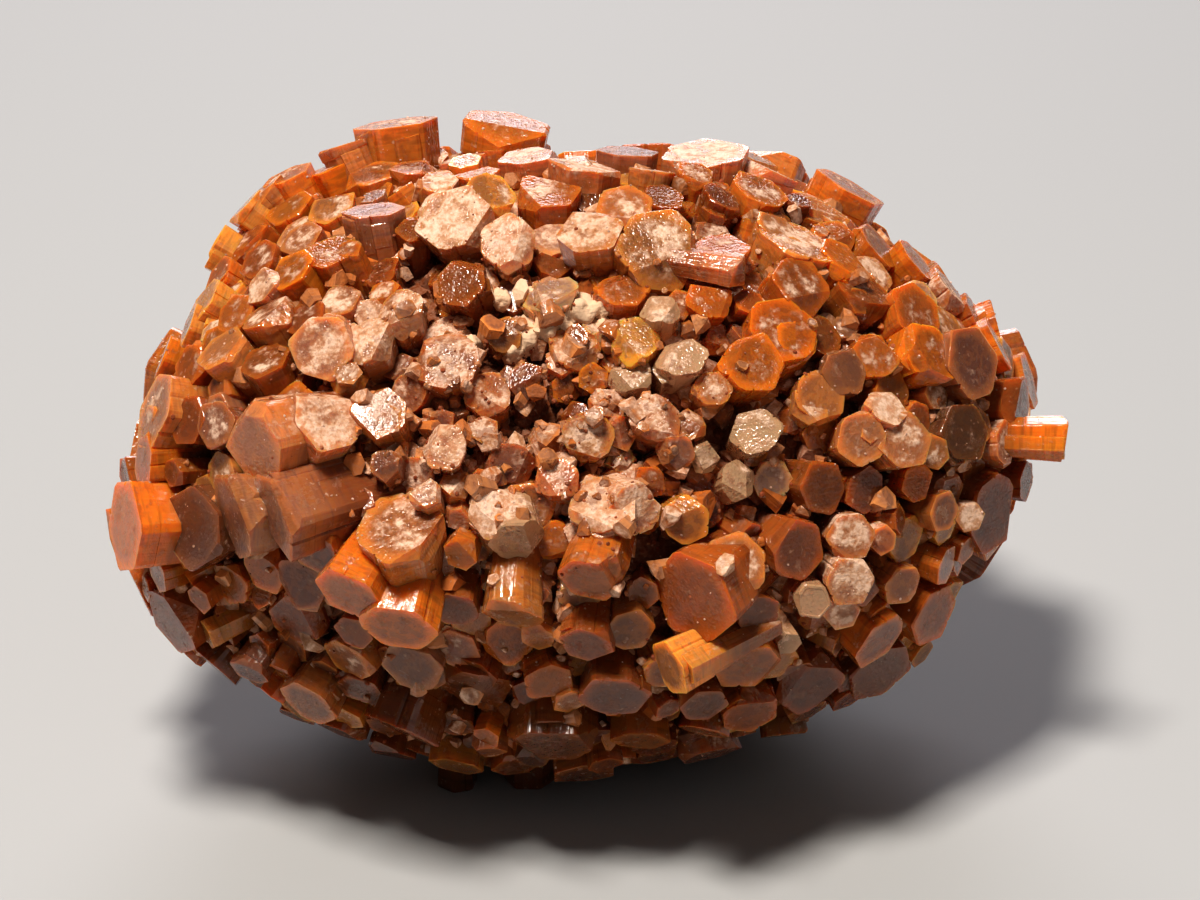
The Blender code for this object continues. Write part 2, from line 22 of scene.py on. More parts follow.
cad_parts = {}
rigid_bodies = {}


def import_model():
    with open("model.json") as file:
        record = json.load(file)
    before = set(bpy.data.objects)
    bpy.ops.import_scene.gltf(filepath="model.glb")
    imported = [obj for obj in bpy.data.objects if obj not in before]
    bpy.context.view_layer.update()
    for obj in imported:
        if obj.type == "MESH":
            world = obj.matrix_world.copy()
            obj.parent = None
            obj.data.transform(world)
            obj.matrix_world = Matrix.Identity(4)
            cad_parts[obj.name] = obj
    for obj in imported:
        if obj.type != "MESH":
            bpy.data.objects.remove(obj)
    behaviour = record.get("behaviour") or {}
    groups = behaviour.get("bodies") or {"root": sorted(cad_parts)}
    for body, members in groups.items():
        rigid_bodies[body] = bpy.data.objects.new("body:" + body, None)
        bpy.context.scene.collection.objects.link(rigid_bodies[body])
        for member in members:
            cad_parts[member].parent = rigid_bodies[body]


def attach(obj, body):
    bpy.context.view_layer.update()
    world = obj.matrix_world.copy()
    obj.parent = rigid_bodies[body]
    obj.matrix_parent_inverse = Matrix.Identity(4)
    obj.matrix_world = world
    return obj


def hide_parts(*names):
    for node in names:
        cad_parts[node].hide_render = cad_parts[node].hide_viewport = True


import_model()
log = logging.getLogger("aragonite_cluster")

MM = 0.001
NODE = "aragonite_cluster"
BODY = "root"
FULL_TURN = 2.0 * math.pi
SIXTH_TURN = math.pi / 3
SEED = 41

Pair = tuple[float, float]
Triple = tuple[float, float, float]
Colour = tuple[float, float, float, float]
Rng = random.Random


class Look(Enum):
    """The kinds of crystal that the cluster shows."""

    AMBER = auto()
    ORANGE = auto()
    BROWN = auto()
    SMOKY = auto()
    LAVENDER_AND_SHEEN = auto()
    TAN = auto()
    HONEY = auto()
    ROSE = auto()
    WHITE = auto()
    PALE = auto()


@dataclass(frozen=True)
class Tint:
    """A look's body colour and how much dust sits on it, from 0 to 1."""

    colour: Triple
    dust: float


TINTS: dict[Look, Tint] = {
    Look.AMBER: Tint((0.50, 0.155, 0.026), 0.22),
    Look.ORANGE: Tint((0.65, 0.19, 0.020), 0.10),
    Look.BROWN: Tint((0.31, 0.092, 0.020), 0.14),
    Look.SMOKY: Tint((0.145, 0.062, 0.028), 0.16),
    # The lavender look is a purplish brown whose greyer, bluer cast is in part painted sheen, the lavender
    # reflection of the soft light on these ends.
    Look.LAVENDER_AND_SHEEN: Tint((0.34, 0.14, 0.075), 0.16),
    Look.TAN: Tint((0.52, 0.21, 0.065), 0.34),
    Look.HONEY: Tint((0.68, 0.30, 0.070), 0.14),
    Look.ROSE: Tint((0.54, 0.21, 0.088), 0.50),
    Look.WHITE: Tint((0.60, 0.28, 0.145), 0.74),
    Look.PALE: Tint((0.60, 0.36, 0.20), 0.30),
}

# Looks of the crystals that no list names: on the flanks, and in the front hollow.
FLANK_LOOKS: tuple[Look, ...] = (
    Look.AMBER, Look.AMBER, Look.AMBER, Look.ORANGE, Look.BROWN, Look.BROWN,
    Look.TAN, Look.TAN, Look.LAVENDER_AND_SHEEN, Look.ROSE, Look.HONEY,
)
HOLLOW_LOOKS: tuple[Look, ...] = (
    Look.ROSE, Look.ROSE, Look.WHITE, Look.LAVENDER_AND_SHEEN, Look.TAN, Look.AMBER, Look.PALE, Look.BROWN,
)
# Looks of the crystals that are clear enough to see through.
CLEAR_LOOKS: tuple[Look, ...] = (Look.PALE,)

# What faces carry that belong to no crystal.
CORE_MARK, RIDGE_MARK, HOLE_MARK = 0, -1, -2


@dataclass(frozen=True)
class Spot:
    """A dip of the shell, a lump of pale rock or a dark hole: at a pixel, wide and deep in mm."""

    column: float
    row: float
    width: float
    depth: float


@dataclass(frozen=True)
class Seen:
    """A prism that the photograph shows.

    column and row are the pixel of its flat end's middle, across its width between flats in mm.
    heading is the way that it points in the picture, in degrees from the right towards the top,
    facing its degrees towards the eye, lift its height over the shell in mm, twist its turn about
    itself in degrees, and long makes it reach further in.
    """

    look: Look
    column: float
    row: float
    across: float
    heading: float
    facing: float
    lift: float
    twist: float
    long: float = 1.0


@dataclass(frozen=True)
class Foot:
    """A prism that grew straight down and bears on the ground, x and y mm from below the heart."""

    x: float
    y: float
    across: float


@dataclass(frozen=True)
class Crystal:
    """A placed prism: the middle of its end, the way it points, its width, reach, twist, look."""

    tip: Vector
    axis: Vector
    across: float
    reach: float
    twist: float
    look: Look

    def sideways(self) -> tuple[Vector, Vector]:
        """Two ways at right angles to its axis and to each other."""
        side = self.axis.orthogonal().normalized()
        return side, self.axis.cross(side)

    def spoke(self, turn: float) -> Vector:
        """The way out of its axis at a turn about it."""
        side, other = self.sideways()
        return side * math.cos(turn) + other * math.sin(turn)


HOLLOWS: tuple[Spot, ...] = (
    Spot(545, 385, 8.5, 2.4), Spot(700, 470, 6.0, 1.4), Spot(270, 640, 6.5, 3.4), Spot(470, 665, 5.5, 3.0),
    Spot(930, 225, 8.0, 2.6), Spot(115, 360, 7.5, 3.4), Spot(1005, 590, 5.0, 2.8), Spot(620, 110, 6.0, 2.6),
)

# The overhanging row of broad prisms, from the left end to the middle of the lower edge.
LEDGE: tuple[Seen, ...] = (
    Seen(Look.ORANGE, 122, 526, 5.2, 182, 24, 1.2, 8), Seen(Look.SMOKY, 190, 528, 4.6, 195, 48, 0.4, 20),
    Seen(Look.LAVENDER_AND_SHEEN, 228, 520, 5.0, 190, 22, 1.0, 12),
    Seen(Look.LAVENDER_AND_SHEEN, 270, 520, 4.9, 196, 24, 1.5, 2, long=1.2),
    Seen(Look.BROWN, 312, 553, 3.2, 225, 40, 0.7, 15), Seen(Look.ORANGE, 348, 597, 4.0, 240, 30, 1.7, 13),
    Seen(Look.ORANGE, 397, 634, 4.2, 256, 24, 2.2, 14.5), Seen(Look.TAN, 402, 524, 4.7, 100, 52, 0.9, 10),
    Seen(Look.ROSE, 246, 446, 5.0, 194, 30, 1.8, 5, long=1.4),
    Seen(Look.WHITE, 330, 412, 4.0, 60, 58, 1.3, 20), Seen(Look.BROWN, 456, 612, 2.5, 258, 44, 0.8, 6),
    Seen(Look.TAN, 512, 622, 3.5, 268, 24, 1.6, 26), Seen(Look.AMBER, 590, 582, 3.4, 252, 36, 1.1, 14),
    Seen(Look.BROWN, 586, 648, 2.9, 262, 38, 0.3, 3), Seen(Look.HONEY, 668, 668, 3.1, 205, 28, 1.5, 9),
    Seen(Look.AMBER, 690, 602, 5.2, 215, 52, 1.1, 17), Seen(Look.TAN, 738, 562, 3.6, 60, 60, 0.6, 25),
)

# Prisms packed side by side like kernels, from the left end up to the crown.
LEFT_FLANK: tuple[Seen, ...] = (
    Seen(Look.TAN, 150, 410, 4.6, 172, 25, 0.7, 4), Seen(Look.ORANGE, 140, 461, 3.0, 185, 24, 0.4, 22),
    Seen(Look.BROWN, 185, 420, 2.9, 170, 45, 0.1, 11), Seen(Look.LAVENDER_AND_SHEEN, 214, 424, 2.7, 175, 52, 0.0, 19),
    Seen(Look.ORANGE, 160, 356, 2.7, 158, 14, 0.2, 7), Seen(Look.AMBER, 188, 366, 2.5, 160, 40, 0.1, 13),
    Seen(Look.TAN, 220, 347, 3.0, 130, 30, 0.7, 1), Seen(Look.BROWN, 264, 359, 2.9, 115, 35, 0.3, 16),
    Seen(Look.TAN, 264, 308, 3.1, 120, 28, 0.9, 24), Seen(Look.HONEY, 203, 299, 3.0, 150, 20, 0.5, 9),
    Seen(Look.AMBER, 233, 312, 2.6, 140, 40, 0.3, 27), Seen(Look.HONEY, 187, 324, 2.6, 160, 12, 0.3, 5),
    Seen(Look.HONEY, 212, 244, 2.8, 150, 8, 0.5, 18), Seen(Look.AMBER, 243, 236, 3.0, 140, 30, 0.5, 2),
    Seen(Look.HONEY, 241, 204, 2.5, 145, 8, 0.6, 21), Seen(Look.TAN, 262, 189, 2.5, 130, 12, 0.6, 12),
    Seen(Look.ORANGE, 288, 206, 2.8, 125, 35, 0.8, 6), Seen(Look.ORANGE, 285, 171, 3.1, 120, 10, 0.5, 25),
    Seen(Look.AMBER, 262, 224, 2.0, 140, 40, 0.2, 10), Seen(Look.BROWN, 257, 258, 2.6, 140, 35, 0.3, 15),
    # The white end at column 261, row 283 is in part painted highlight: its dusty white look stands where
    # that face shines white.
    Seen(Look.AMBER, 216, 274, 2.5, 150, 20, 0.3, 8), Seen(Look.WHITE, 261, 283, 2.3, 140, 35, 0.9, 29),
    Seen(Look.ORANGE, 290, 269, 2.9, 130, 35, 0.8, 3), Seen(Look.ROSE, 300, 238, 2.5, 125, 40, 0.2, 14),
    Seen(Look.AMBER, 328, 248, 3.1, 115, 30, 0.7, 23), Seen(Look.LAVENDER_AND_SHEEN, 372, 206, 3.5, 100, 22, 1.0, 5),
    Seen(Look.ORANGE, 330, 164, 3.0, 115, 15, 0.6, 17), Seen(Look.TAN, 345, 140, 3.3, 115, 6, 0.4, 11),
    Seen(Look.AMBER, 396, 121, 4.8, 98, 9, 0.7, 7), Seen(Look.AMBER, 372, 172, 3.2, 105, 25, 0.3, 20),
    Seen(Look.AMBER, 412, 164, 2.5, 95, 30, 0.4, 1), Seen(Look.TAN, 330, 204, 2.9, 115, 35, 0.3, 26),
    Seen(Look.BROWN, 415, 228, 2.1, 95, 45, 0.0, 9), Seen(Look.ROSE, 433, 150, 1.9, 80, 35, 0.1, 13),
    Seen(Look.BROWN, 303, 316, 2.4, 125, 45, 0.3, 28), Seen(Look.ROSE, 340, 298, 2.5, 115, 48, 0.2, 4),
)

# The top edge with its two proud blocks, and the slope behind it to the right.
CROWN: tuple[Seen, ...] = (
    Seen(Look.AMBER, 508, 120, 5.2, 80, 17, 1.0, 26, long=1.1),
    Seen(Look.ROSE, 438, 180, 2.3, 95, 35, 0.1, 6), Seen(Look.HONEY, 465, 160, 1.8, 100, 30, 0.0, 19),
    Seen(Look.HONEY, 492, 190, 3.1, 62, 40, 1.1, 15), Seen(Look.WHITE, 455, 218, 4.1, 115, 62, 1.2, 8),
    Seen(Look.WHITE, 507, 240, 3.3, 90, 70, 0.9, 22), Seen(Look.ROSE, 586, 160, 3.9, 85, 20, 0.7, 3),
    Seen(Look.TAN, 652, 168, 2.5, 80, 10, 0.2, 12), Seen(Look.ROSE, 706, 145, 4.9, 85, 14, 1.0, 29),
    Seen(Look.ROSE, 770, 166, 3.4, 70, 8, 0.3, 7), Seen(Look.AMBER, 852, 184, 4.3, 62, 10, 0.9, 18),
    Seen(Look.ROSE, 588, 228, 3.5, 100, 50, 1.1, 10), Seen(Look.TAN, 625, 205, 3.1, 85, 50, 0.4, 24),
    Seen(Look.TAN, 658, 246, 4.8, 75, 62, 1.0, 5),
    Seen(Look.ROSE, 747, 272, 1.9, 350, 15, 1.4, 0, long=1.2),
    Seen(Look.ORANGE, 712, 296, 2.7, 60, 60, 0.4, 16), Seen(Look.AMBER, 722, 242, 3.3, 75, 40, 0.3, 2),
    Seen(Look.TAN, 800, 232, 4.9, 65, 35, 0.4, 21), Seen(Look.AMBER, 800, 282, 3.7, 50, 45, 0.3, 13),
    Seen(Look.ORANGE, 785, 326, 4.2, 55, 50, 0.6, 27), Seen(Look.ORANGE, 755, 361, 3.4, 50, 62, 0.9, 9),
    Seen(Look.AMBER, 548, 190, 3.6, 88, 35, 0.0, 14), Seen(Look.AMBER, 622, 286, 2.9, 80, 52, 0.2, 4),
)

# Broad prisms at the far right end, with one stub that stands out sideways.
RIGHT_END: tuple[Seen, ...] = (
    Seen(Look.ORANGE, 936, 352, 3.7, 25, 48, 0.9, 6), Seen(Look.LAVENDER_AND_SHEEN, 976, 362, 4.3, 15, 45, 1.0, 20),
    Seen(Look.ORANGE, 1003, 342, 3.3, 20, 15, 0.5, 11), Seen(Look.BROWN, 1024, 410, 3.9, 0, 20, 0.5, 2),
    Seen(Look.ORANGE, 1068, 440, 2.6, 358, 6, 2.6, 17, long=1.4),
    Seen(Look.BROWN, 1000, 515, 4.7, 340, 30, 0.4, 25), Seen(Look.SMOKY, 966, 432, 3.3, 10, 55, 0.3, 8),
    Seen(Look.ROSE, 906, 440, 3.3, 20, 62, 0.9, 14), Seen(Look.ROSE, 864, 436, 2.9, 20, 68, 0.7, 28),
    Seen(Look.WHITE, 888, 404, 2.5, 60, 50, 0.9, 5), Seen(Look.LAVENDER_AND_SHEEN, 848, 368, 2.7, 40, 55, 0.7, 19),
    Seen(Look.AMBER, 920, 312, 3.7, 35, 40, 0.3, 1), Seen(Look.ORANGE, 918, 259, 2.9, 40, 15, 0.3, 23),
    Seen(Look.ROSE, 952, 288, 2.9, 38, 12, 0.3, 10), Seen(Look.AMBER, 976, 310, 2.5, 30, 12, 0.2, 15),
    Seen(Look.AMBER, 882, 240, 3.3, 50, 20, 0.2, 7), Seen(Look.BROWN, 868, 286, 3.4, 45, 40, 0.1, 26),
    Seen(Look.TAN, 945, 512, 2.3, 350, 45, 0.3, 12), Seen(Look.AMBER, 948, 566, 2.3, 340, 25, 0.1, 3),
    Seen(Look.ORANGE, 846, 256, 3.3, 55, 30, 0.2, 18), Seen(Look.AMBER, 880, 352, 2.9, 35, 50, 0.4, 9),
    Seen(Look.TAN, 822, 396, 3.0, 40, 62, 0.2, 22),
)

# The lower right slope: three small pale ends among broad brown ones.
LOWER_RIGHT: tuple[Seen, ...] = (
    Seen(Look.WHITE, 851, 582, 2.8, 320, 70, 0.9, 10), Seen(Look.PALE, 813, 602, 2.1, 300, 72, 0.8, 4),
    Seen(Look.WHITE, 843, 614, 2.0, 300, 65, 0.8, 21), Seen(Look.ROSE, 853, 537, 2.6, 330, 68, 0.5, 13),
    Seen(Look.ROSE, 885, 541, 1.6, 330, 60, 0.4, 27), Seen(Look.TAN, 905, 586, 2.4, 325, 50, 0.3, 6),
    Seen(Look.AMBER, 936, 616, 3.7, 330, 35, 0.4, 17), Seen(Look.BROWN, 881, 676, 4.1, 300, 40, 0.5, 2),
    Seen(Look.BROWN, 812, 692, 3.9, 290, 40, 0.5, 24), Seen(Look.AMBER, 748, 668, 3.9, 280, 40, 0.7, 11),
    Seen(Look.PALE, 790, 645, 1.4, 300, 50, 0.5, 8), Seen(Look.HONEY, 924, 655, 1.9, 320, 20, 0.3, 19),
    Seen(Look.AMBER, 703, 734, 2.7, 260, 15, 0.1, 5), Seen(Look.TAN, 785, 738, 2.7, 280, 10, 0.3, 16),
)

# The small crystals in and around the hollow of the front.
HOLLOW_CRYSTALS: tuple[Seen, ...] = (
    Seen(Look.WHITE, 446, 445, 2.5, 90, 78, 1.6, 0), Seen(Look.TAN, 377, 407, 3.1, 120, 62, 0.9, 14),
    Seen(Look.ROSE, 448, 358, 3.7, 100, 66, 0.9, 7), Seen(Look.ROSE, 400, 308, 2.8, 110, 60, 0.6, 22),
    Seen(Look.WHITE, 318, 347, 3.6, 150, 64, 1.1, 3), Seen(Look.WHITE, 364, 338, 3.1, 110, 62, 0.9, 18),
    Seen(Look.ROSE, 490, 389, 2.6, 90, 66, 0.4, 11), Seen(Look.BROWN, 524, 376, 2.0, 80, 66, 0.3, 26),
    Seen(Look.PALE, 682, 356, 2.8, 80, 62, 1.2, 9), Seen(Look.ROSE, 656, 416, 2.8, 90, 72, 1.2, 20),
    Seen(Look.ROSE, 676, 455, 2.3, 280, 72, 0.9, 5), Seen(Look.PALE, 705, 460, 1.6, 300, 70, 0.7, 15),
    Seen(Look.TAN, 692, 420, 1.8, 60, 66, 0.8, 28), Seen(Look.TAN, 714, 388, 2.2, 60, 66, 0.7, 2),
    Seen(Look.PALE, 756, 430, 2.8, 60, 72, 0.7, 12), Seen(Look.PALE, 740, 478, 2.2, 30, 66, 0.5, 24),
    Seen(Look.TAN, 586, 432, 2.9, 90, 76, 0.8, 8), Seen(Look.HONEY, 636, 336, 2.9, 90, 60, 0.7, 17),
    Seen(Look.PALE, 662, 308, 2.1, 80, 50, 0.6, 6), Seen(Look.PALE, 632, 372, 2.4, 90, 60, 0.3, 21),
    Seen(Look.WHITE, 604, 500, 3.7, 100, 66, 1.3, 13), Seen(Look.WHITE, 638, 508, 2.9, 330, 60, 1.2, 27),
    Seen(Look.WHITE, 495, 508, 3.1, 95, 66, 1.1, 4), Seen(Look.PALE, 518, 546, 3.1, 280, 52, 1.0, 16),
    Seen(Look.WHITE, 425, 490, 1.7, 110, 60, 1.2, 23), Seen(Look.TAN, 455, 480, 1.7, 80, 60, 0.7, 10),
    Seen(Look.LAVENDER_AND_SHEEN, 384, 462, 1.7, 120, 66, 0.3, 19), Seen(Look.AMBER, 460, 556, 1.9, 250, 60, 0.9, 1),
    Seen(Look.ROSE, 482, 426, 1.7, 80, 70, 0.4, 25), Seen(Look.ROSE, 608, 396, 2.2, 90, 66, 0.4, 7),
    Seen(Look.ROSE, 558, 478, 2.3, 90, 70, 0.6, 14),
)

# The shadowed underside below the ledge. Its mostly brown looks are in part the crystals' own colour and in
# part painted shade.
UNDERSIDE: tuple[Seen, ...] = (
    Seen(Look.BROWN, 168, 622, 4.3, 214, 26, 1.0, 9), Seen(Look.BROWN, 214, 668, 3.5, 230, 6, 0.3, 20),
    Seen(Look.AMBER, 268, 688, 2.5, 250, 20, 0.9, 4), Seen(Look.TAN, 345, 662, 3.1, 225, 30, 0.3, 15),
    Seen(Look.BROWN, 472, 690, 4.2, 250, 26, 0.4, 27), Seen(Look.BROWN, 552, 748, 4.7, 268, 22, 0.3, 12),
    Seen(Look.ROSE, 488, 755, 1.9, 265, 20, 0.3, 6), Seen(Look.BROWN, 400, 736, 4.5, 250, 12, 0.3, 18),
    Seen(Look.AMBER, 640, 745, 3.1, 272, 14, 0.3, 2), Seen(Look.BROWN, 615, 700, 3.9, 270, 35, 0.2, 23),
    Seen(Look.BROWN, 290, 622, 3.7, 230, 40, 0.3, 10), Seen(Look.BROWN, 236, 610, 3.5, 222, 40, 0.3, 28),
)

SEEN: tuple[Seen, ...] = (
    LEDGE + LEFT_FLANK + CROWN + RIGHT_END + LOWER_RIGHT + HOLLOW_CRYSTALS + UNDERSIDE
)

# Two of these show at the lower edge of the photograph, and the others stand behind them.
FEET: tuple[Foot, ...] = (
    Foot(-8.8, -6.0, 2.3), Foot(-4.2, -6.3, 3.0), Foot(7.4, -3.8, 3.6), Foot(4.6, 6.2, 3.8),
    Foot(-6.4, 5.8, 3.8),
)

# The cream ridge of rock across the front hollow, and the dark holes around it.
RIDGE: tuple[Spot, ...] = (
    Spot(512, 352, 1.3, 1.0), Spot(527, 340, 1.5, 1.2), Spot(545, 328, 1.6, 1.3), Spot(563, 318, 1.5, 1.4),
    Spot(583, 310, 1.8, 1.4), Spot(604, 306, 1.6, 1.3), Spot(530, 300, 1.3, 1.0), Spot(500, 300, 1.2, 0.9),
    Spot(600, 328, 1.1, 1.0), Spot(560, 372, 1.0, 0.7), Spot(470, 345, 1.1, 0.8), Spot(345, 448, 1.2, 0.9),
)
HOLES: tuple[Spot, ...] = (
    Spot(578, 349, 1.7, 2.6), Spot(597, 352, 1.2, 2.2), Spot(505, 333, 1.2, 2.0), Spot(500, 362, 1.0, 1.8),
    Spot(520, 412, 1.3, 2.2), Spot(555, 398, 1.1, 1.8), Spot(475, 322, 1.0, 1.8), Spot(410, 436, 1.1, 2.0),
    Spot(353, 455, 1.5, 2.2), Spot(560, 455, 1.1, 1.8), Spot(722, 450, 1.1, 1.8), Spot(650, 452, 1.2, 2.0),
    Spot(675, 385, 1.0, 1.6), Spot(715, 538, 1.3, 2.0), Spot(662, 540, 1.2, 2.0), Spot(632, 562, 1.2, 2.0),
    Spot(548, 575, 1.0, 1.6), Spot(315, 208, 0.8, 1.4),
)


@dataclass(frozen=True)
class Sight:
    """The photograph's line of sight: how it is turned and raised, how far, and a pixel's size."""

    heart: Vector
    azimuth: float = math.radians(-12.0)
    elevation: float = math.radians(25.0)
    distance: float = 260.0 * MM
    pixel: float = 0.062 * MM
    heart_column: float = 575.0
    heart_row: float = 448.0
    width: float = 1200.0
    height: float = 900.0

    @property
    def right(self) -> Vector:
        """The picture's right."""
        return Vector((math.cos(self.azimuth), math.sin(self.azimuth), 0.0))

    @property
    def back(self) -> Vector:
        """The way from the stone to the eye."""
        level, turn = math.cos(self.elevation), self.azimuth
        return Vector((math.sin(turn) * level, -math.cos(turn) * level, math.sin(self.elevation)))

    @property
    def up(self) -> Vector:
        """The picture's up."""
        return self.back.cross(self.right)

    @property
    def middle(self) -> Vector:
        """What the middle of the picture looks at.

        Returns:
            The point.
        """
        across = self.right * (self.width / 2 - self.heart_column)
        down = self.up * (self.height / 2 - self.heart_row)
        return self.heart + (across - down) * self.pixel

    @property
    def eye(self) -> Vector:
        """Where the camera stands."""
        return self.middle + self.back * self.distance

    def through(self, column: float, row: float) -> Vector:
        """The line of sight through a pixel.

        Args:
            column: the pixel's column.
            row: the pixel's row.

        Returns:
            Its direction.
        """
        across = self.right * (column - self.width / 2)
        above = self.up * (self.height / 2 - row)
        return (self.middle + (across + above) * self.pixel - self.eye).normalized()


@dataclass
class Shell:
    """The egg-shaped shell that the crystals' ends lie on, dented by the hollows.

    The crystals sprout from a line through the heart. hollow and crown are the pixels of the
    most worn parts, and their sizes are how far these stretch in mm.
    """

    half: Vector = field(default_factory=lambda: Vector((29.2, 22.0, 18.9)) * MM)
    heart: Vector = field(default_factory=lambda: Vector((-0.17, 1.06, 19.5)) * MM)
    seed_half: float = 11.0 * MM
    seed_share: float = 0.45
    hollow: Pair = (560, 410)
    hollow_size: Triple = (13.0, 13.0, 8.0)
    crown: Pair = (760, 290)
    crown_size: Triple = (12.0, 12.0, 9.0)
    crown_wear: float = 0.6

    def __post_init__(self) -> None:
        """Finds where each hollow's middle lies on the shell."""
        self.sight = Sight(self.heart)
        self.dips = tuple(
            (self.meet(dip.column, dip.row, 0.0), dip.width * MM, dip.depth * MM) for dip in HOLLOWS
        )

    def meet(self, column: float, row: float, lift: float) -> Vector:
        """Where a pixel's line of sight meets the shell, or passes it nearest.

        Args:
            column: the pixel's column.
            row: the pixel's row.
            lift: how far the shell is raised, in metres.

        Returns:
            The point.
        """
        eye, way = self.sight.eye, self.sight.through(column, row)
        grown = 1.0 + lift / self.half.y
        start, step = self.units(eye - self.heart), self.units(way)
        nearest = -start.dot(step) / step.dot(step)
        miss = (start + step * nearest).length_squared
        inside = max(0.0, grown**2 - miss) / step.dot(step)
        return eye + way * (nearest - math.sqrt(inside))

    def units(self, vector: Vector) -> Vector:
        """A vector measured in the shell's half sizes."""
        return Vector(vector[i] / self.half[i] for i in range(3))

    def dip(self, point: Vector) -> float:
        """How far the hollows take the shell in.

        Args:
            point: a point on it.

        Returns:
            The depth in metres.
        """
        return sum(
            depth * math.exp(-(((point - middle).length / width) ** 2))
            for middle, width, depth in self.dips
        )

    def outward(self, point: Vector) -> Vector:
        """The way that a crystal grows, away from the seed line.

        Args:
            point: the middle of its end.

        Returns:
            The direction.
        """
        along = (point.x - self.heart.x) * self.seed_share
        along = max(-self.seed_half, min(self.seed_half, along))
        return (point - self.heart - Vector((along, 0.0, 0.0))).normalized()

    def on(self, way: Vector) -> Vector:
        """The shell's point in a direction from the heart."""
        return self.heart + Vector(way[i] * self.half[i] for i in range(3))

    def pixel_point(self, column: float, row: float, lift: float) -> Vector:
        """The point of the dented shell behind a pixel, raised by lift metres."""
        tip = self.meet(column, row, lift)
        return self.meet(column, row, lift - self.dip(tip))

    def depth(self, points: np.ndarray) -> np.ndarray:
        """How far under the dented shell points lie.

        Args:
            points: rows of x, y and z.

        Returns:
            Their depths in metres.
        """
        offset = points - np.array(self.heart)
        share = np.linalg.norm(offset / np.array(self.half), axis=1) + 1e-9
        under = np.linalg.norm(offset, axis=1) * (1.0 / share - 1.0)
        for middle, width, depth in self.dips:
            gap = np.linalg.norm(points - np.array(middle), axis=1)
            under -= depth * np.exp(-((gap / width) ** 2))
        return under

    def share(self, points: np.ndarray, pixel: Pair, stretch: Triple) -> np.ndarray:
        """How near points are to what a pixel shows.

        Args:
            points: rows of x, y and z.
            pixel: its column and row.
            stretch: how far that reaches in mm, each way.

        Returns:
            Numbers from 0 to 1.
        """
        middle = np.array(self.pixel_point(*pixel, 0.0))
        gap = np.linalg.norm((points - middle) / (np.array(stretch) * MM), axis=1)
        return np.exp(-(gap**2))

    def hollow_share(self, points: np.ndarray) -> np.ndarray:
        """How near points are to the front hollow of small crystals, from 0 to 1."""
        return self.share(points, self.hollow, self.hollow_size)

    def wear(self, point: Vector) -> float:
        """How worn a crystal's end is: most in the hollow, then on the crown.

        Args:
            point: the middle of its end.

        Returns:
            A number from 0 to 1.
        """
        points = np.array([point])
        crown = self.share(points, self.crown, self.crown_size)
        return float(max(self.hollow_share(points)[0], crown[0] * self.crown_wear))


@dataclass(frozen=True)
class Pass:
    """One round of filling the shell: widths in mm on the seen and the far side, and spacing."""

    wide_here: float
    wide_behind: float
    tries: int
    spacing: float
    sink: float
    lift: float
    lean: float = math.radians(9.0)


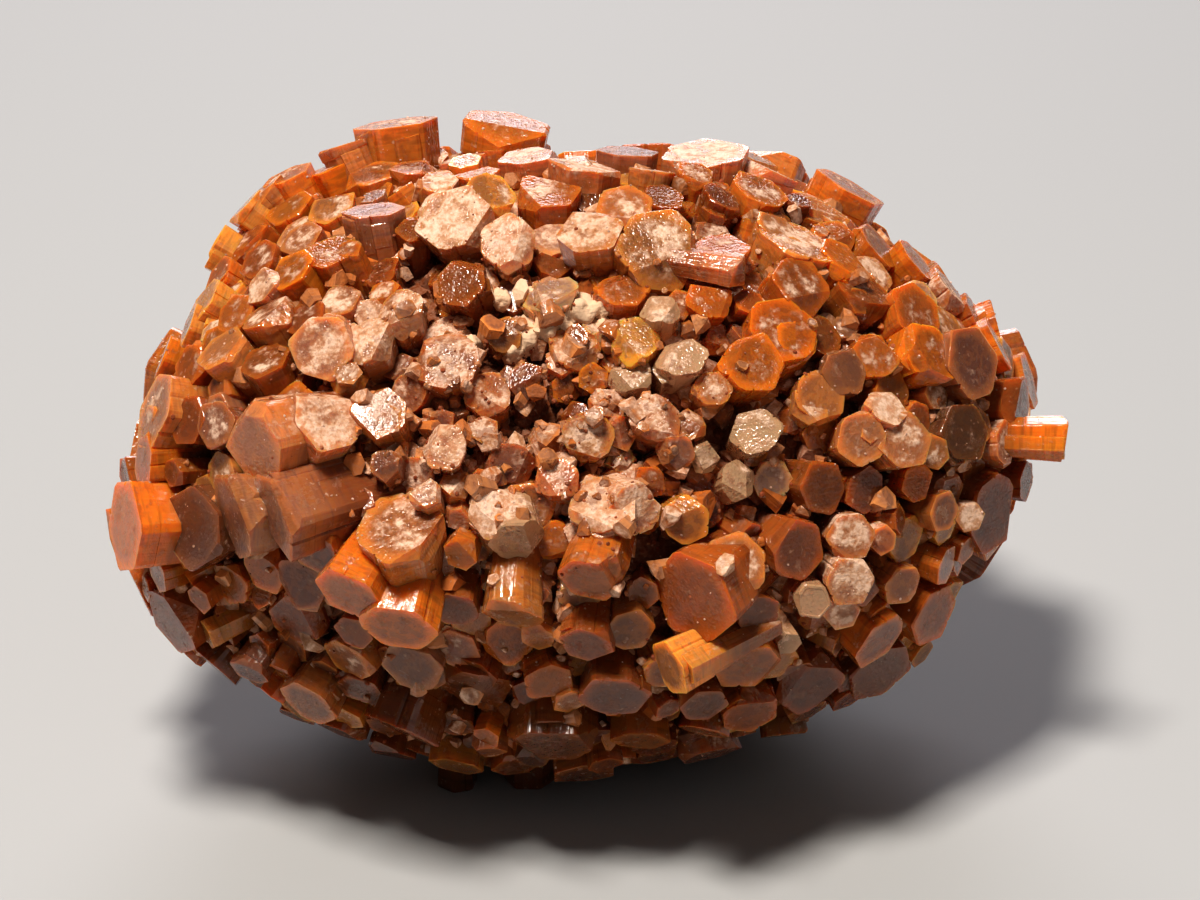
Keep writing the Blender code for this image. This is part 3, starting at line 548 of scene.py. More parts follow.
@dataclass
class Planting:
    """Places every prism: those seen, the feet, and those that fill the shell between them.

    solid_rounds are the plain solid's own. small_rounds fill its gaps with small crystals. mixers
    turn a crystal's place into a number that picks its look.
    """

    shell: Shell
    least_reach: float = 6.2 * MM
    most_reach: float = 10.0 * MM
    foot_reach: float = 11.0 * MM
    reach_in_widths: float = 2.2
    uneven: Pair = (0.85, 1.12)
    least_clearance: float = 0.35 * MM
    steep: float = 0.3
    mixers: Triple = (91000.0, 47000.0, 13000.0)
    solid_rounds: tuple[Pass, ...] = (
        Pass(3.4, 5.6, tries=2600, spacing=1.12, sink=0.36, lift=0.9),
        Pass(2.5, 4.4, tries=2600, spacing=1.12, sink=0.36, lift=0.9),
    )
    small_rounds: tuple[Pass, ...] = (
        Pass(2.6, 3.4, tries=3000, spacing=0.92, sink=1.3, lift=0.3, lean=math.radians(16.0)),
        Pass(1.8, 2.4, tries=3500, spacing=0.84, sink=1.8, lift=0.1, lean=math.radians(28.0)),
    )

    def __post_init__(self) -> None:
        """Finds where the dark holes are."""
        self.holes = [
            (self.shell.pixel_point(hole.column, hole.row, 0.0), hole.width * MM / 2) for hole in HOLES
        ]

    def reach_of(self, across: float, long: float = 1.0) -> float:
        """How far in from its end a prism of this width goes."""
        return max(self.least_reach, min(self.most_reach, across * self.reach_in_widths * long))

    def seen(self, seen: Seen) -> Crystal:
        """Places a prism that the photograph shows.

        Args:
            seen: what can be read of it there.

        Returns:
            The crystal behind its pixel.
        """
        sight = self.shell.sight
        tip = self.shell.pixel_point(seen.column, seen.row, seen.lift * MM)
        heading, facing = math.radians(seen.heading), math.radians(seen.facing)
        flat = sight.right * math.cos(heading) + sight.up * math.sin(heading)
        axis = flat * math.cos(facing) + sight.back * math.sin(facing)
        across = seen.across * MM
        reach = self.reach_of(across, seen.long)
        return Crystal(tip, axis, across, reach, math.radians(seen.twist), seen.look)

    def foot(self, foot: Foot) -> Crystal:
        """Places a prism that bears on the ground.

        Args:
            foot: where it stands.

        Returns:
            The crystal, which points straight down.
        """
        heart = self.shell.heart
        tip = Vector((heart.x + foot.x * MM, heart.y + foot.y * MM, 0.0))
        down = Vector((0.0, 0.0, -1.0))
        return Crystal(tip, down, foot.across * MM, self.foot_reach, foot.x, Look.BROWN)

    def clear(self, crystal: Crystal, clearance: float) -> Crystal:
        """Ends a crystal a little earlier where its rim would come too near the ground.

        Args:
            crystal: the crystal.
            clearance: how far over the ground it has to stay, in metres.

        Returns:
            The crystal or the shorter one.
        """
        lean = math.sqrt(max(0.0, 1.0 - crystal.axis.z**2))
        lowest = crystal.tip.z - lean * crystal.across / math.sqrt(3)
        if lowest > clearance:
            return crystal
        back = (clearance - lowest) / max(self.steep, -crystal.axis.z)
        return replace(crystal, tip=crystal.tip - crystal.axis * back)

    def direction(self, rng: Rng) -> Vector:
        """Draws a direction, spread evenly over the ball.

        Args:
            rng: the source of it.

        Returns:
            The direction.
        """
        height = rng.uniform(-1.0, 1.0)
        turn = rng.uniform(0.0, FULL_TURN)
        girth = math.sqrt(1.0 - height * height)
        return Vector((girth * math.cos(turn), girth * math.sin(turn), height))

    def tilted(self, axis: Vector, lean: float, rng: Rng) -> Vector:
        """The axis leaned any way, by no more than lean."""
        sideways = self.direction(rng).cross(axis).normalized()
        return (axis + sideways * math.tan(rng.uniform(0.0, lean))).normalized()

    def tried(self, step: Pass, rng: Rng) -> tuple[Crystal, Vector]:
        """Draws one crystal to try.

        Args:
            step: the round that it belongs to.
            rng: the source of its place.

        Returns:
            The crystal, and its end's middle before it was kept clear of the ground.
        """
        way = self.direction(rng)
        share, twist = rng.uniform(*self.uneven), rng.uniform(0.0, SIXTH_TURN)
        lift = rng.uniform(-step.sink * MM, step.lift * MM)
        on_shell = self.shell.on(way)
        rise = lift - self.shell.dip(on_shell)
        tip = on_shell + self.shell.outward(on_shell) * rise
        wide = step.wide_here if way.dot(self.shell.sight.back) > 0.0 else step.wide_behind
        across = wide * share * MM
        axis = self.tilted(self.shell.outward(tip), step.lean, rng)
        crystal = Crystal(tip, axis, across, self.reach_of(across), twist, Look.AMBER)
        return self.clear(crystal, self.least_clearance + step.lift * MM - lift), tip

    def fill(self, crystals: list[Crystal], rounds: tuple[Pass, ...], rng: Rng) -> list[Crystal]:
        """Adds crystals over all the shell that the others leave free.

        Args:
            crystals: those that already stand.
            rounds: the widths and spacings to fill with, wide ones first.
            rng: the source of the random places.

        Returns:
            The crystals and the new ones.
        """
        crystals = list(crystals)
        most = len(crystals) + sum(step.tries for step in rounds)
        tips, widths = np.zeros((most, 3)), np.zeros(most)
        holes = self.holes if rounds is self.small_rounds else []
        for place, crystal in enumerate(crystals):
            tips[place], widths[place] = crystal.tip, crystal.across
        for step in rounds:
            for _ in range(step.tries):
                crystal, tip = self.tried(step, rng)
                count, across = len(crystals), crystal.across
                gaps = np.linalg.norm(tips[:count] - np.array(crystal.tip), axis=1)
                if any((tip - middle).length < wide + across / 2 for middle, wide in holes):
                    continue
                if np.all(gaps >= step.spacing * (across + widths[:count]) / 2):
                    tips[count], widths[count] = crystal.tip, across
                    crystals.append(replace(crystal, look=self.look_at(crystal.tip)))
        return crystals

    def look_at(self, tip: Vector) -> Look:
        """A look for an unlisted crystal, from where it stands.

        Args:
            tip: the middle of its end.

        Returns:
            One of the looks of the front hollow or of the flanks.
        """
        in_hollow = float(self.shell.hollow_share(np.array([tip]))[0])
        pick = int(abs(math.sin(sum(tip[i] * self.mixers[i] for i in range(3)))) * 1e4)
        looks = HOLLOW_LOOKS if in_hollow * 10 > pick % 7 else FLANK_LOOKS
        return looks[pick % len(looks)]

    def all(self) -> list[Crystal]:
        """Places every prism.

        Returns:
            First those seen, then the feet, then the filling.
        """
        crystals = [self.seen(seen) for seen in SEEN] + [self.foot(foot) for foot in FEET]
        crystals = self.fill(crystals, self.solid_rounds, Rng(SEED))
        return self.fill(crystals, self.small_rounds, Rng(SEED + 1))


def operator(operation: str, swapped: bool = False) -> Callable[[Value, Feed], Value]:
    """Makes an operator that adds a Math node.

    Args:
        operation: what the node works out.
        swapped: whether the other number comes first.

    Returns:
        The operator.
    """

    def joined(value: Value, other: Feed) -> Value:
        """The result of the two."""
        pair = (other, value) if swapped else (value, other)
        return value.graph.math(operation, *pair)

    return joined


@dataclass(frozen=True)
class Value:
    """A socket of numbers that the usual operators work on."""

    graph: Graph
    socket: bpy.types.NodeSocket

    __add__ = __radd__ = operator("ADD")
    __mul__ = __rmul__ = operator("MULTIPLY")
    __sub__ = operator("SUBTRACT")
    __rsub__ = operator("SUBTRACT", swapped=True)
    __truediv__ = operator("DIVIDE")
    __rtruediv__ = operator("DIVIDE", swapped=True)
    larger = operator("MAXIMUM")

    def between(self, low: float, high: float) -> Value:
        """How far this has risen from one number to another.

        Args:
            low: where it gives 0.
            high: where it gives 1.

        Returns:
            A smooth step.
        """
        inputs = {"Value": self, "From Min": low, "From Max": high}
        settings = {"interpolation_type": "SMOOTHSTEP"}
        return self.graph.new("ShaderNodeMapRange", settings, inputs, "Result")


Feed = Value | float | int | bool | str | tuple
Inputs = dict[str | int, Feed]


@dataclass
class Graph:
    """A node tree that is written in a few words."""

    tree: bpy.types.NodeTree

    def __post_init__(self) -> None:
        """Empties the tree."""
        self.tree.nodes.clear()

    @classmethod
    def of(cls, block: bpy.types.Material | bpy.types.World) -> Graph:
        """The emptied node tree of a material or a world."""
        block.use_nodes = True
        return cls(block.node_tree)

    def pick(self, sockets: bpy.types.bpy_prop_collection, key: str | int) -> bpy.types.NodeSocket:
        """Finds a socket.

        Args:
            sockets: a node's inputs or outputs.
            key: its name, where the first in use is meant, or its place.

        Returns:
            The socket.
        """
        if isinstance(key, int):
            return sockets[key]
        return next(socket for socket in sockets if socket.name == key and socket.enabled)

    def add(
        self, kind: str, settings: dict[str, object] | None = None, inputs: Inputs | None = None
    ) -> bpy.types.Node:
        """Adds a node.

        Args:
            kind: the node's type.
            settings: its properties.
            inputs: what goes into its sockets, by name or place.

        Returns:
            The node.
        """
        node = self.tree.nodes.new(kind)
        for name, value in (settings or {}).items():
            setattr(node, name, value)
        for key, value in (inputs or {}).items():
            socket = self.pick(node.inputs, key)
            if isinstance(value, Value):
                self.tree.links.new(value.socket, socket)
            else:
                socket.default_value = value
        return node

    def out(self, node: bpy.types.Node, key: str | int = 0) -> Value:
        """One of a node's outputs."""
        return Value(self, self.pick(node.outputs, key))

    def new(
        self,
        kind: str,
        settings: dict[str, object] | None = None,
        inputs: Inputs | None = None,
        key: str | int = 0,
    ) -> Value:
        """Adds a node as add does, and gives one of its outputs."""
        return self.out(self.add(kind, settings, inputs), key)

    def math(self, operation: str, one: Feed, other: Feed) -> Value:
        """The sum, product or other result of two numbers."""
        return self.new("ShaderNodeMath", {"operation": operation}, {0: one, 1: other})

    def vector(self, operation: str, one: Feed, other: Feed) -> Value:
        """The sum, product or other result of two vectors."""
        return self.new("ShaderNodeVectorMath", {"operation": operation}, {0: one, 1: other})

    def combine(self, *parts: Feed) -> Value:
        """The vector of up to three numbers."""
        return self.new("ShaderNodeCombineXYZ", {}, dict(enumerate(parts)))

    def blend(self, share: Feed, one: Feed, other: Feed) -> Value:
        """A colour between two, share of the way from one to the other."""
        inputs = {"Factor": share, "A": one, "B": other}
        return self.new("ShaderNodeMix", {"data_type": "RGBA"}, inputs, "Result")

    def noise(self, place: Feed, scale: float, detail: float, rough: float) -> Value:
        """Cloudy noise from 0 to 1 at a place."""
        inputs = {"Vector": place, "Scale": scale, "Detail": detail, "Roughness": rough}
        return self.new("ShaderNodeTexNoise", {}, inputs)

    def attribute(self, name: str, output: str = "Fac") -> Value:
        """A mesh attribute, as a number, a vector or a colour."""
        return self.new("ShaderNodeAttribute", {"attribute_name": name}, {}, output)

    def here(self) -> Value:
        """The place on the stone, in metres."""
        return self.new("ShaderNodeTexCoord", key="Object")

    def bump(self, height: Value, distance: float) -> Value:
        """The surface's normal where a height raises it by up to a distance."""
        inputs = {"Strength": 0.8, "Distance": distance, "Height": height}
        return self.new("ShaderNodeBump", {}, inputs)

    def matte(self, base: Feed, roughness: float, shine: float, more: Inputs | None = None) -> Value:
        """A dull shader of one colour."""
        inputs = {"Base Color": base, "Roughness": roughness, "Specular IOR Level": shine}
        return self.new("ShaderNodeBsdfPrincipled", {}, inputs | (more or {}))


def colour(red: float, green: float, blue: float) -> Colour:
    """A linear colour with its alpha."""
    return (red, green, blue, 1.0)


@dataclass(frozen=True)
class Clouds:
    """The noises that a stone's finishes share, from broad to fine."""

    broad: Value
    middle: Value
    fine: Value

    @classmethod
    def over(cls, graph: Graph, here: Value) -> Clouds:
        """Makes them, from 0 to 1, at a place in the stone in metres."""
        looks = ((520.0, 3.0, 0.62), (1350.0, 3.0, 0.62), (3400.0, 2.0, 0.6))
        return cls(*(graph.noise(here, *look) for look in looks))

    def centred(self) -> Clouds:
        """The same noises around 0."""
        return Clouds(self.broad - 0.5, self.middle - 0.5, self.fine - 0.5)


@dataclass(frozen=True)
class CrystalFinish:
    """Translucent crystal, matte where clay and dust cover it.

    clearness is how much of it lets light straight through, glow how much scatters inside it,
    wash how pale its tint becomes, and absorption and density what colour stays inside. deep and
    bright are what a tint is multiplied by, and the scales stretch noises along a crystal.
    """

    name: str
    clearness: float = 0.0
    glow: float = 0.9
    wash: float = 0.0
    dustiness: float = 1.0
    glow_scale: float = 1.3 * MM
    glow_reach: Triple = (1.0, 0.42, 0.18)
    shine: float = 0.45
    coat: float = 0.15
    coat_roughness: float = 0.05
    dull_roughness: float = 0.86
    dull_shine: float = 0.25
    relief: float = 0.2 * MM
    index: float = 1.56
    density: float = 110.0
    deep: Triple = (0.50, 0.44, 0.55)
    bright: Triple = (1.28, 1.08, 0.68)
    band_scale: Triple = (0.3, 0.3, 1.9)
    rib_scale: Triple = (5.0, 5.0, 0.18)
    absorption: Colour = (1.0, 0.62, 0.30, 1.0)
    washed: Colour = (1.0, 0.62, 0.34, 1.0)
    rust: Colour = (0.185, 0.046, 0.011, 1.0)
    cream: Colour = (0.80, 0.55, 0.36, 1.0)
    dust: Colour = (0.90, 0.64, 0.48, 1.0)
    dim_dust: Colour = (0.56, 0.29, 0.155, 1.0)
    # The haze colour darkens the middle of each end, and is also the colour of the painted sheen on the
    # sides.
    haze_and_sheen: Colour = (0.15, 0.050, 0.022, 1.0)

    def body(self, graph: Graph, place: Value, clouds: Clouds, rim: Value) -> Value:
        """The crystal's colour: darker middle, bright rim, bands along it, painted sheen near the end.

        Args:
            graph: the material's nodes.
            place: where a point lies in its crystal, in mm.
            clouds: the noises.
            rim: how near its rim a point is, from 0 to 1.

        Returns:
            The colour.
        """
        tint = graph.attribute("tint", "Color")
        along = graph.new("ShaderNodeSeparateXYZ", {}, {0: place}, "Z")
        bands = graph.noise(graph.vector("MULTIPLY", place, self.band_scale), 1.0, 2.0, 0.65)
        deep = graph.vector("MULTIPLY", tint, self.deep)
        bright = graph.vector("MULTIPLY", tint, self.bright)
        zoned = graph.attribute("zoned")
        middle = graph.blend(clouds.middle * 0.6 - 0.02, deep, self.haze_and_sheen)
        middle = graph.blend(zoned * 0.7 + 0.3, tint, middle)
        end = graph.blend(rim * (zoned * 0.4 + 0.6), middle, bright)
        veil = (clouds.broad - clouds.middle * 0.5 - 0.25) * 14.0
        veil = (1.0 - veil * veil).between(0.0, 1.0) * 0.22
        end = graph.blend(veil, end, bright)
        # Painted sheen: patchy bands on the sides near the end take the haze colour, standing for the soft
        # light's reflection.
        painted_sheen = (bands + clouds.middle * 0.5).between(0.68, 0.9) * 0.6
        painted_sheen = painted_sheen * (1.0 - along.between(0.3, 3.0))
        side = graph.blend(bands.between(0.35, 0.65), tint, bright)
        side = graph.blend(painted_sheen, side, self.haze_and_sheen)
        side = graph.blend(bands.between(0.5, 0.3) * 0.55, side, deep)
        side = graph.blend(along.between(0.8, 4.6) * 0.8, side, self.rust)
        own = graph.blend(graph.attribute("endwise").between(0.5, 0.8), side, end)
        return graph.blend(self.wash, own, self.washed) if self.wash else own

    def covers(
        self, graph: Graph, here: Value, clouds: Clouds, level: Clouds, rim: Value
    ) -> tuple[Value, Value]:
        """Where clay and dust lie.

        Args:
            graph: the material's nodes.
            here: the place on the stone.
            clouds: the noises.
            level: the noises around 0.
            rim: how near its rim a point is, from 0 to 1.

        Returns:
            How much clay and how much dust there is, each from 0 to 1.
        """
        hollow = graph.attribute("hollow")
        stained = (clouds.middle + hollow * 0.06).between(0.58, 0.70) * (hollow * 0.7 + 0.2)
        clay = graph.attribute("clay") + level.broad * 1.1 + level.fine * 0.5
        clay = clay.between(0.36, 0.66).larger(stained * self.dustiness)
        clay = clay.larger(graph.attribute("rock"))
        settled = graph.attribute("dust") * self.dustiness + hollow * 0.06
        dusty = settled + level.broad * 1.8 + level.middle * 0.9 + level.fine * 0.35 - rim * 0.3
        dusty = dusty.between(0.22, 0.78) * (1.0 - clay * 0.8)
        specks = graph.noise(here, 2300.0, 1.0, 0.5).between(0.68, 0.75) * 0.6
        return clay, dusty.larger(specks)

    def dirt(self, graph: Graph, level: Clouds, dusty: Value) -> Value:
        """The colour of what covers the crystal.

        Args:
            graph: the material's nodes.
            level: the noises around 0.
            dusty: how much of the cover is dust, and the rest is clay or rock.

        Returns:
            The colour.
        """
        broad, middle, fine = level.broad, level.middle, level.fine
        ground = graph.blend(graph.attribute("cream"), self.rust, self.cream)
        ground = graph.blend(fine * 0.45 + 0.05, ground, self.dust)
        stain = (middle * -1.0 + broad * 0.5).between(0.0, 0.22) * 0.6
        thick = (broad * 0.5 + middle * 0.6 + fine * 0.5).between(-0.12, 0.16)
        powder = graph.blend(thick, self.dim_dust, self.dust)
        powder = graph.blend(stain, powder, graph.attribute("tint", "Color"))
        return graph.blend(dusty, ground, powder)

    def material(self) -> bpy.types.Material:
        """Makes the material.

        Returns:
            The material.
        """
        material = bpy.data.materials.new(self.name)
        graph = Graph.of(material)
        here, place = graph.here(), graph.attribute("place", "Vector")
        clouds = Clouds.over(graph, here)
        level = clouds.centred()
        flat = graph.vector("MULTIPLY", place, (1.0, 1.0, 0.0))
        length = graph.new("ShaderNodeVectorMath", {"operation": "LENGTH"}, {0: flat}, "Value")
        radius = length / (graph.attribute("half") + 0.01)
        rim = (radius + level.broad * 0.5 + level.middle * 0.3).between(0.62, 1.04)
        clay, dusty = self.covers(graph, here, clouds, level, rim)
        cover = clay.larger(dusty * 0.82)
        ribs = graph.noise(graph.vector("MULTIPLY", place, self.rib_scale), 1.0, 1.0, 0.5)
        height = ribs * 0.35 + clouds.middle * 0.25 + clouds.fine * (cover * 0.35 + 0.10)
        bump = graph.bump(height, self.relief)
        inputs = {
            "Base Color": self.body(graph, place, clouds, rim),
            "Roughness": (clouds.middle + level.broad * 0.7).between(0.3, 0.8) * 0.3 + 0.06,
            "Coat Weight": self.coat,
            "Coat Roughness": self.coat_roughness,
            "Specular IOR Level": self.shine,
            "IOR": self.index,
            "Transmission Weight": self.clearness,
            "Subsurface Weight": self.glow,
            "Subsurface Radius": self.glow_reach,
            "Subsurface Scale": self.glow_scale,
            "Normal": bump,
        }
        settings = {"subsurface_method": "RANDOM_WALK"}
        crystal = graph.new("ShaderNodeBsdfPrincipled", settings, inputs)
        dirt = self.dirt(graph, level, dusty)
        dull = graph.matte(dirt, self.dull_roughness, self.dull_shine, {"Normal": bump})
        ends = {"Surface": graph.new("ShaderNodeMixShader", {}, {"Fac": cover, 1: crystal, 2: dull})}
        if self.clearness:
            inside = {"Color": self.absorption, "Density": self.density}
            ends["Volume"] = graph.new("ShaderNodeVolumeAbsorption", {}, inside)
        graph.add("ShaderNodeOutputMaterial", {}, ends)
        return material


@dataclass(frozen=True)
class GritFinish:
    """Matte grains of clay or dust, each its own tint."""

    name: str
    roughness: float = 0.9
    shine: float = 0.25
    relief: float = 0.06 * MM
    pale: Colour = (0.8, 0.5, 0.36, 1.0)

    def material(self) -> bpy.types.Material:
        """Makes the material.

        Returns:
            The material.
        """
        material = bpy.data.materials.new(self.name)
        graph = Graph.of(material)
        fine = graph.noise(graph.here(), 5200.0, 3.0, 0.6)
        tint = graph.attribute("tint", "Color")
        pale = graph.blend(fine.between(0.5, 0.8) * 0.22, tint, self.pale)
        bump = graph.bump(fine, self.relief)
        grit = graph.matte(pale, self.roughness, self.shine, {"Normal": bump})
        graph.add("ShaderNodeOutputMaterial", {}, {"Surface": grit})
        return material


def shown(name: str, data: bpy.types.ID) -> bpy.types.Object:
    """Makes an object in the scene.

    Args:
        name: its name.
        data: its mesh, light or camera.

    Returns:
        The object.
    """
    thing = bpy.data.objects.new(name, data)
    bpy.context.scene.collection.objects.link(thing)
    return thing


def gathered(name: str, things: Iterable[bpy.types.Object]) -> bpy.types.Collection:
    """Puts objects in the scene, in a collection.

    Args:
        name: the collection's name.
        things: the objects.

    Returns:
        The collection.
    """
    group = bpy.data.collections.new(name)
    bpy.context.scene.collection.children.link(group)
    for thing in things:
        group.objects.link(thing)
    return group


def discard(group: bpy.types.Collection) -> None:
    """Removes a collection and the objects in it.

    Args:
        group: the collection.
    """
    for thing in list(group.objects):
        bpy.data.objects.remove(thing)
    bpy.data.collections.remove(group)


def evaluated(piece: bpy.types.Object) -> bpy.types.Mesh:
    """Applies a piece's modifiers.

    Args:
        piece: the piece, which stays as it is.

    Returns:
        A new mesh.
    """
    bpy.context.view_layer.update()
    graph = bpy.context.evaluated_depsgraph_get()
    return bpy.data.meshes.new_from_object(piece.evaluated_get(graph), depsgraph=graph)


def meshed(name: str, shape: bmesh.types.BMesh) -> bpy.types.Mesh:
    """Makes a mesh of a shape.

    Args:
        name: the mesh's name.
        shape: its shape, which is freed.

    Returns:
        The mesh.
    """
    mesh = bpy.data.meshes.new(name)
    shape.to_mesh(mesh)
    shape.free()
    return mesh


def marked(name: str, shape: bmesh.types.BMesh, mark: int) -> bpy.types.Object:
    """Makes an object whose faces all carry one number.

    Args:
        name: the object's name.
        shape: its shape, which is freed.
        mark: the number.

    Returns:
        The object.
    """
    layer = shape.faces.layers.int.new("crystal")
    for face in shape.faces:
        face[layer] = mark
    return bpy.data.objects.new(name, meshed(name, shape))


@dataclass(frozen=True)
class PrismCutter:
    """Cuts one prism's closed mesh: chamfered corners, grooves, growth lines, an end and chips.

    Pairs are the least and the most that is drawn. Sizes without a unit are shares of the
    prism's width, and the worn ones are what full wear adds to a size, in shares of it. end_drop
    is how far a level end is cut back, and how much further for each unit of its slope.
    """

    root_share: float = 0.72
    corner_uneven: float = 0.07
    corner_worn: float = 1.6
    plain_below: float = 2.1 * MM
    detailed_from: float = 1.5 * MM
    chamfer: Pair = (0.04, 0.11)
    chamfer_worn: float = 1.7
    groove_chance: float = 0.42
    groove_middle: Pair = (0.32, 0.68)
    groove_half: Pair = (0.03, 0.08)
    groove_depth: Pair = (0.03, 0.09)
    line_drop: Pair = (0.1, 0.34)
    line_depth: Pair = (0.0, 0.03)
    line_lip: float = 0.012
    line_width: float = 0.06 * MM
    rim: Pair = (0.015, 0.045)
    rim_share: float = 2.2
    terrace_chance: float = 0.24
    terrace_size: Pair = (0.5, 0.84)
    terrace_slide: Pair = (0.0, 0.8)
    terrace_most: float = 0.92
    terrace_taper: float = 0.965
    terrace_height: Pair = (0.03 * MM, 0.14 * MM)
    slope: float = math.radians(9.0)
    slope_worn: float = 1.4
    chips: tuple[int, ...] = (0, 1, 1, 2, 3)
    chips_worn: float = 2.4
    chip_turn: float = 0.5
    chip_slant: Pair = (0.35, 1.6)
    chip_size: Pair = (0.04, 0.20)
    chip_worn: float = 0.7
    end_drop: Pair = (0.01, 0.45)
    least_faces: int = 6

    def uneven(self, rng: Rng) -> list[Pair]:
        """How far each corner is turned and grown out of its regular place."""
        most = self.corner_uneven
        return [(rng.uniform(-1, 1) * most, rng.uniform(-1, 1) * most) for _ in range(6)]

    def outline(self, crystal: Crystal, uneven: list[Pair], wear: float, rng: Rng) -> list[Vector]:
        """The prism's cross section, anticlockwise, in metres.

        Args:
            crystal: the placed prism.
            uneven: each corner's turn and growth.
            wear: how worn it is, from 0 to 1.
            rng: the source of its chamfers and grooves.

        Returns:
            Its points as flat vectors.
        """
        corners = []
        for corner, (turned, grown) in enumerate(uneven):
            angle = crystal.twist + SIXTH_TURN * corner + turned
            radius = crystal.across / math.sqrt(3) * (1.0 + grown * (1.0 + self.corner_worn * wear))
            corners.append(Vector((math.cos(angle), math.sin(angle))) * radius)
        if crystal.across < self.plain_below:
            return corners
        points = []
        for corner, here in enumerate(corners):
            before, after = corners[corner - 1], corners[(corner + 1) % 6]
            cut = rng.uniform(*self.chamfer) * (1.0 + self.chamfer_worn * wear)
            points += [here.lerp(before, cut), here.lerp(after, cut)]
            if rng.random() < self.groove_chance:
                middle, half = rng.uniform(*self.groove_middle), rng.uniform(*self.groove_half)
                bottom = here.lerp(after, middle) * (1.0 - rng.uniform(*self.groove_depth))
                points += [here.lerp(after, middle - half), bottom, here.lerp(after, middle + half)]
        return points

    def levels(self, crystal: Crystal, rng: Rng) -> list[tuple[float, float, Vector]]:
        """The rings that the outline is repeated at, from the root to the end.

        Args:
            crystal: the placed prism.
            rng: the source of its growth line and terrace.

        Returns:
            For each ring its size, how far below the end it lies, and its sideways shift.
        """
        still = Vector((0.0, 0.0))
        rings = [(self.root_share, crystal.reach, still)]
        detailed = crystal.across > self.detailed_from
        raised = crystal.tip.z > 0.0
        if detailed and raised:
            line = rng.uniform(*self.line_drop)
            size = 1.0 + (self.root_share - 1.0) * line
            drop = line * crystal.reach
            rings.append((size - rng.uniform(*self.line_depth), drop, still))
            rings.append((size + self.line_lip, drop - self.line_width, still))
        bevel = rng.uniform(*self.rim)
        rings.append((1.0, bevel * crystal.across, still))
        rings.append((1.0 - self.rim_share * bevel, 0.0, still))
        if detailed and rng.random() < self.terrace_chance and raised:
            size, turn = rng.uniform(*self.terrace_size), rng.uniform(0.0, FULL_TURN)
            slide = Vector((math.cos(turn), math.sin(turn))) * crystal.across
            slide *= rng.uniform(*self.terrace_slide) * (self.terrace_most - size) / 2.0
            step = rng.uniform(*self.terrace_height) * rng.choice((-1.0, 1.0, 1.0))
            rings += [(size, 0.0, slide), (size * self.terrace_taper, step, slide)]
        return rings

    def sliced(self, shape: bmesh.types.BMesh, place: Vector, way: Vector) -> bmesh.types.BMesh:
        """Takes off what lies beyond a plane.

        Args:
            shape: the closed prism.
            place: a point of the plane.
            way: the side of the plane that goes.

        Returns:
            The sliced prism, or the whole one where the cut wouldn't close.
        """
        left = shape.copy()
        geometry = list(left.verts) + list(left.edges) + list(left.faces)
        bmesh.ops.bisect_plane(
            left, geom=geometry, plane_co=place, plane_no=way, clear_outer=True, dist=1e-7
        )
        open_edges = [edge for edge in left.edges if edge.is_boundary]
        bmesh.ops.holes_fill(left, edges=open_edges, sides=0)
        closed = all(edge.is_manifold for edge in left.edges) and len(left.faces) >= self.least_faces
        kept, dropped = (left, shape) if closed else (shape, left)
        dropped.free()
        return kept

    def worn(
        self, shape: bmesh.types.BMesh, crystal: Crystal, wear: float, rng: Rng
    ) -> bmesh.types.BMesh:
        """Slopes the prism's end a little and breaks flakes off its corners.

        Args:
            shape: the closed prism.
            crystal: where it stands.
            wear: how worn it is, from 0 to 1.
            rng: the source of the slope and the flakes.

        Returns:
            The worn prism.
        """
        across, axis = crystal.across, crystal.axis
        level, steep = self.end_drop
        slope = rng.uniform(0.0, self.slope) * (1.0 + self.slope_worn * wear)
        way = crystal.spoke(rng.uniform(0.0, FULL_TURN))
        way = (axis + way * math.tan(slope)).normalized()
        end = crystal.tip - axis * (across * (level + steep * math.tan(slope)))
        shape = self.sliced(shape, end, way)
        for _ in range(rng.choice(self.chips) + round(self.chips_worn * wear)):
            turn = crystal.twist + SIXTH_TURN * rng.choice(range(6))
            outwards = crystal.spoke(turn + rng.uniform(-self.chip_turn, self.chip_turn))
            slant = (axis * rng.uniform(*self.chip_slant) + outwards).normalized()
            corner = end + outwards * across / math.sqrt(3)
            size = rng.uniform(*self.chip_size) * (1.0 + self.chip_worn * wear)
            shape = self.sliced(shape, corner - slant * across * size, slant)
        return shape

    def cut(
        self, name: str, crystal: Crystal, uneven: list[Pair], wear: float, mark: int
    ) -> bpy.types.Object:
        """Makes the prism's object.

        Args:
            name: the object's name.
            crystal: the placed prism.
            uneven: each corner's turn and growth.
            wear: how worn it is, from 0 to 1.
            mark: the number that its faces carry.

        Returns:
            The closed prism.
        """
        rng = Rng(SEED * 100000 + mark)
        shape = bmesh.new()
        outline = self.outline(crystal, uneven, wear, rng)
        side, other = crystal.sideways()
        rings = []
        for size, drop, slide in self.levels(crystal, rng):
            middle = crystal.tip - crystal.axis * drop + side * slide.x + other * slide.y
            places = (middle + (side * point.x + other * point.y) * size for point in outline)
            rings.append([shape.verts.new(place) for place in places])
        shape.faces.new(list(reversed(rings[0])))
        shape.faces.new(rings[-1])
        for lower, upper in zip(rings, rings[1:]):
            for point in range(len(outline)):
                after = (point + 1) % len(outline)
                shape.faces.new((lower[point], lower[after], upper[after], upper[point]))
        if crystal.tip.z > 0.0:
            shape = self.worn(shape, crystal, wear, rng)
        return marked(name, shape, mark)


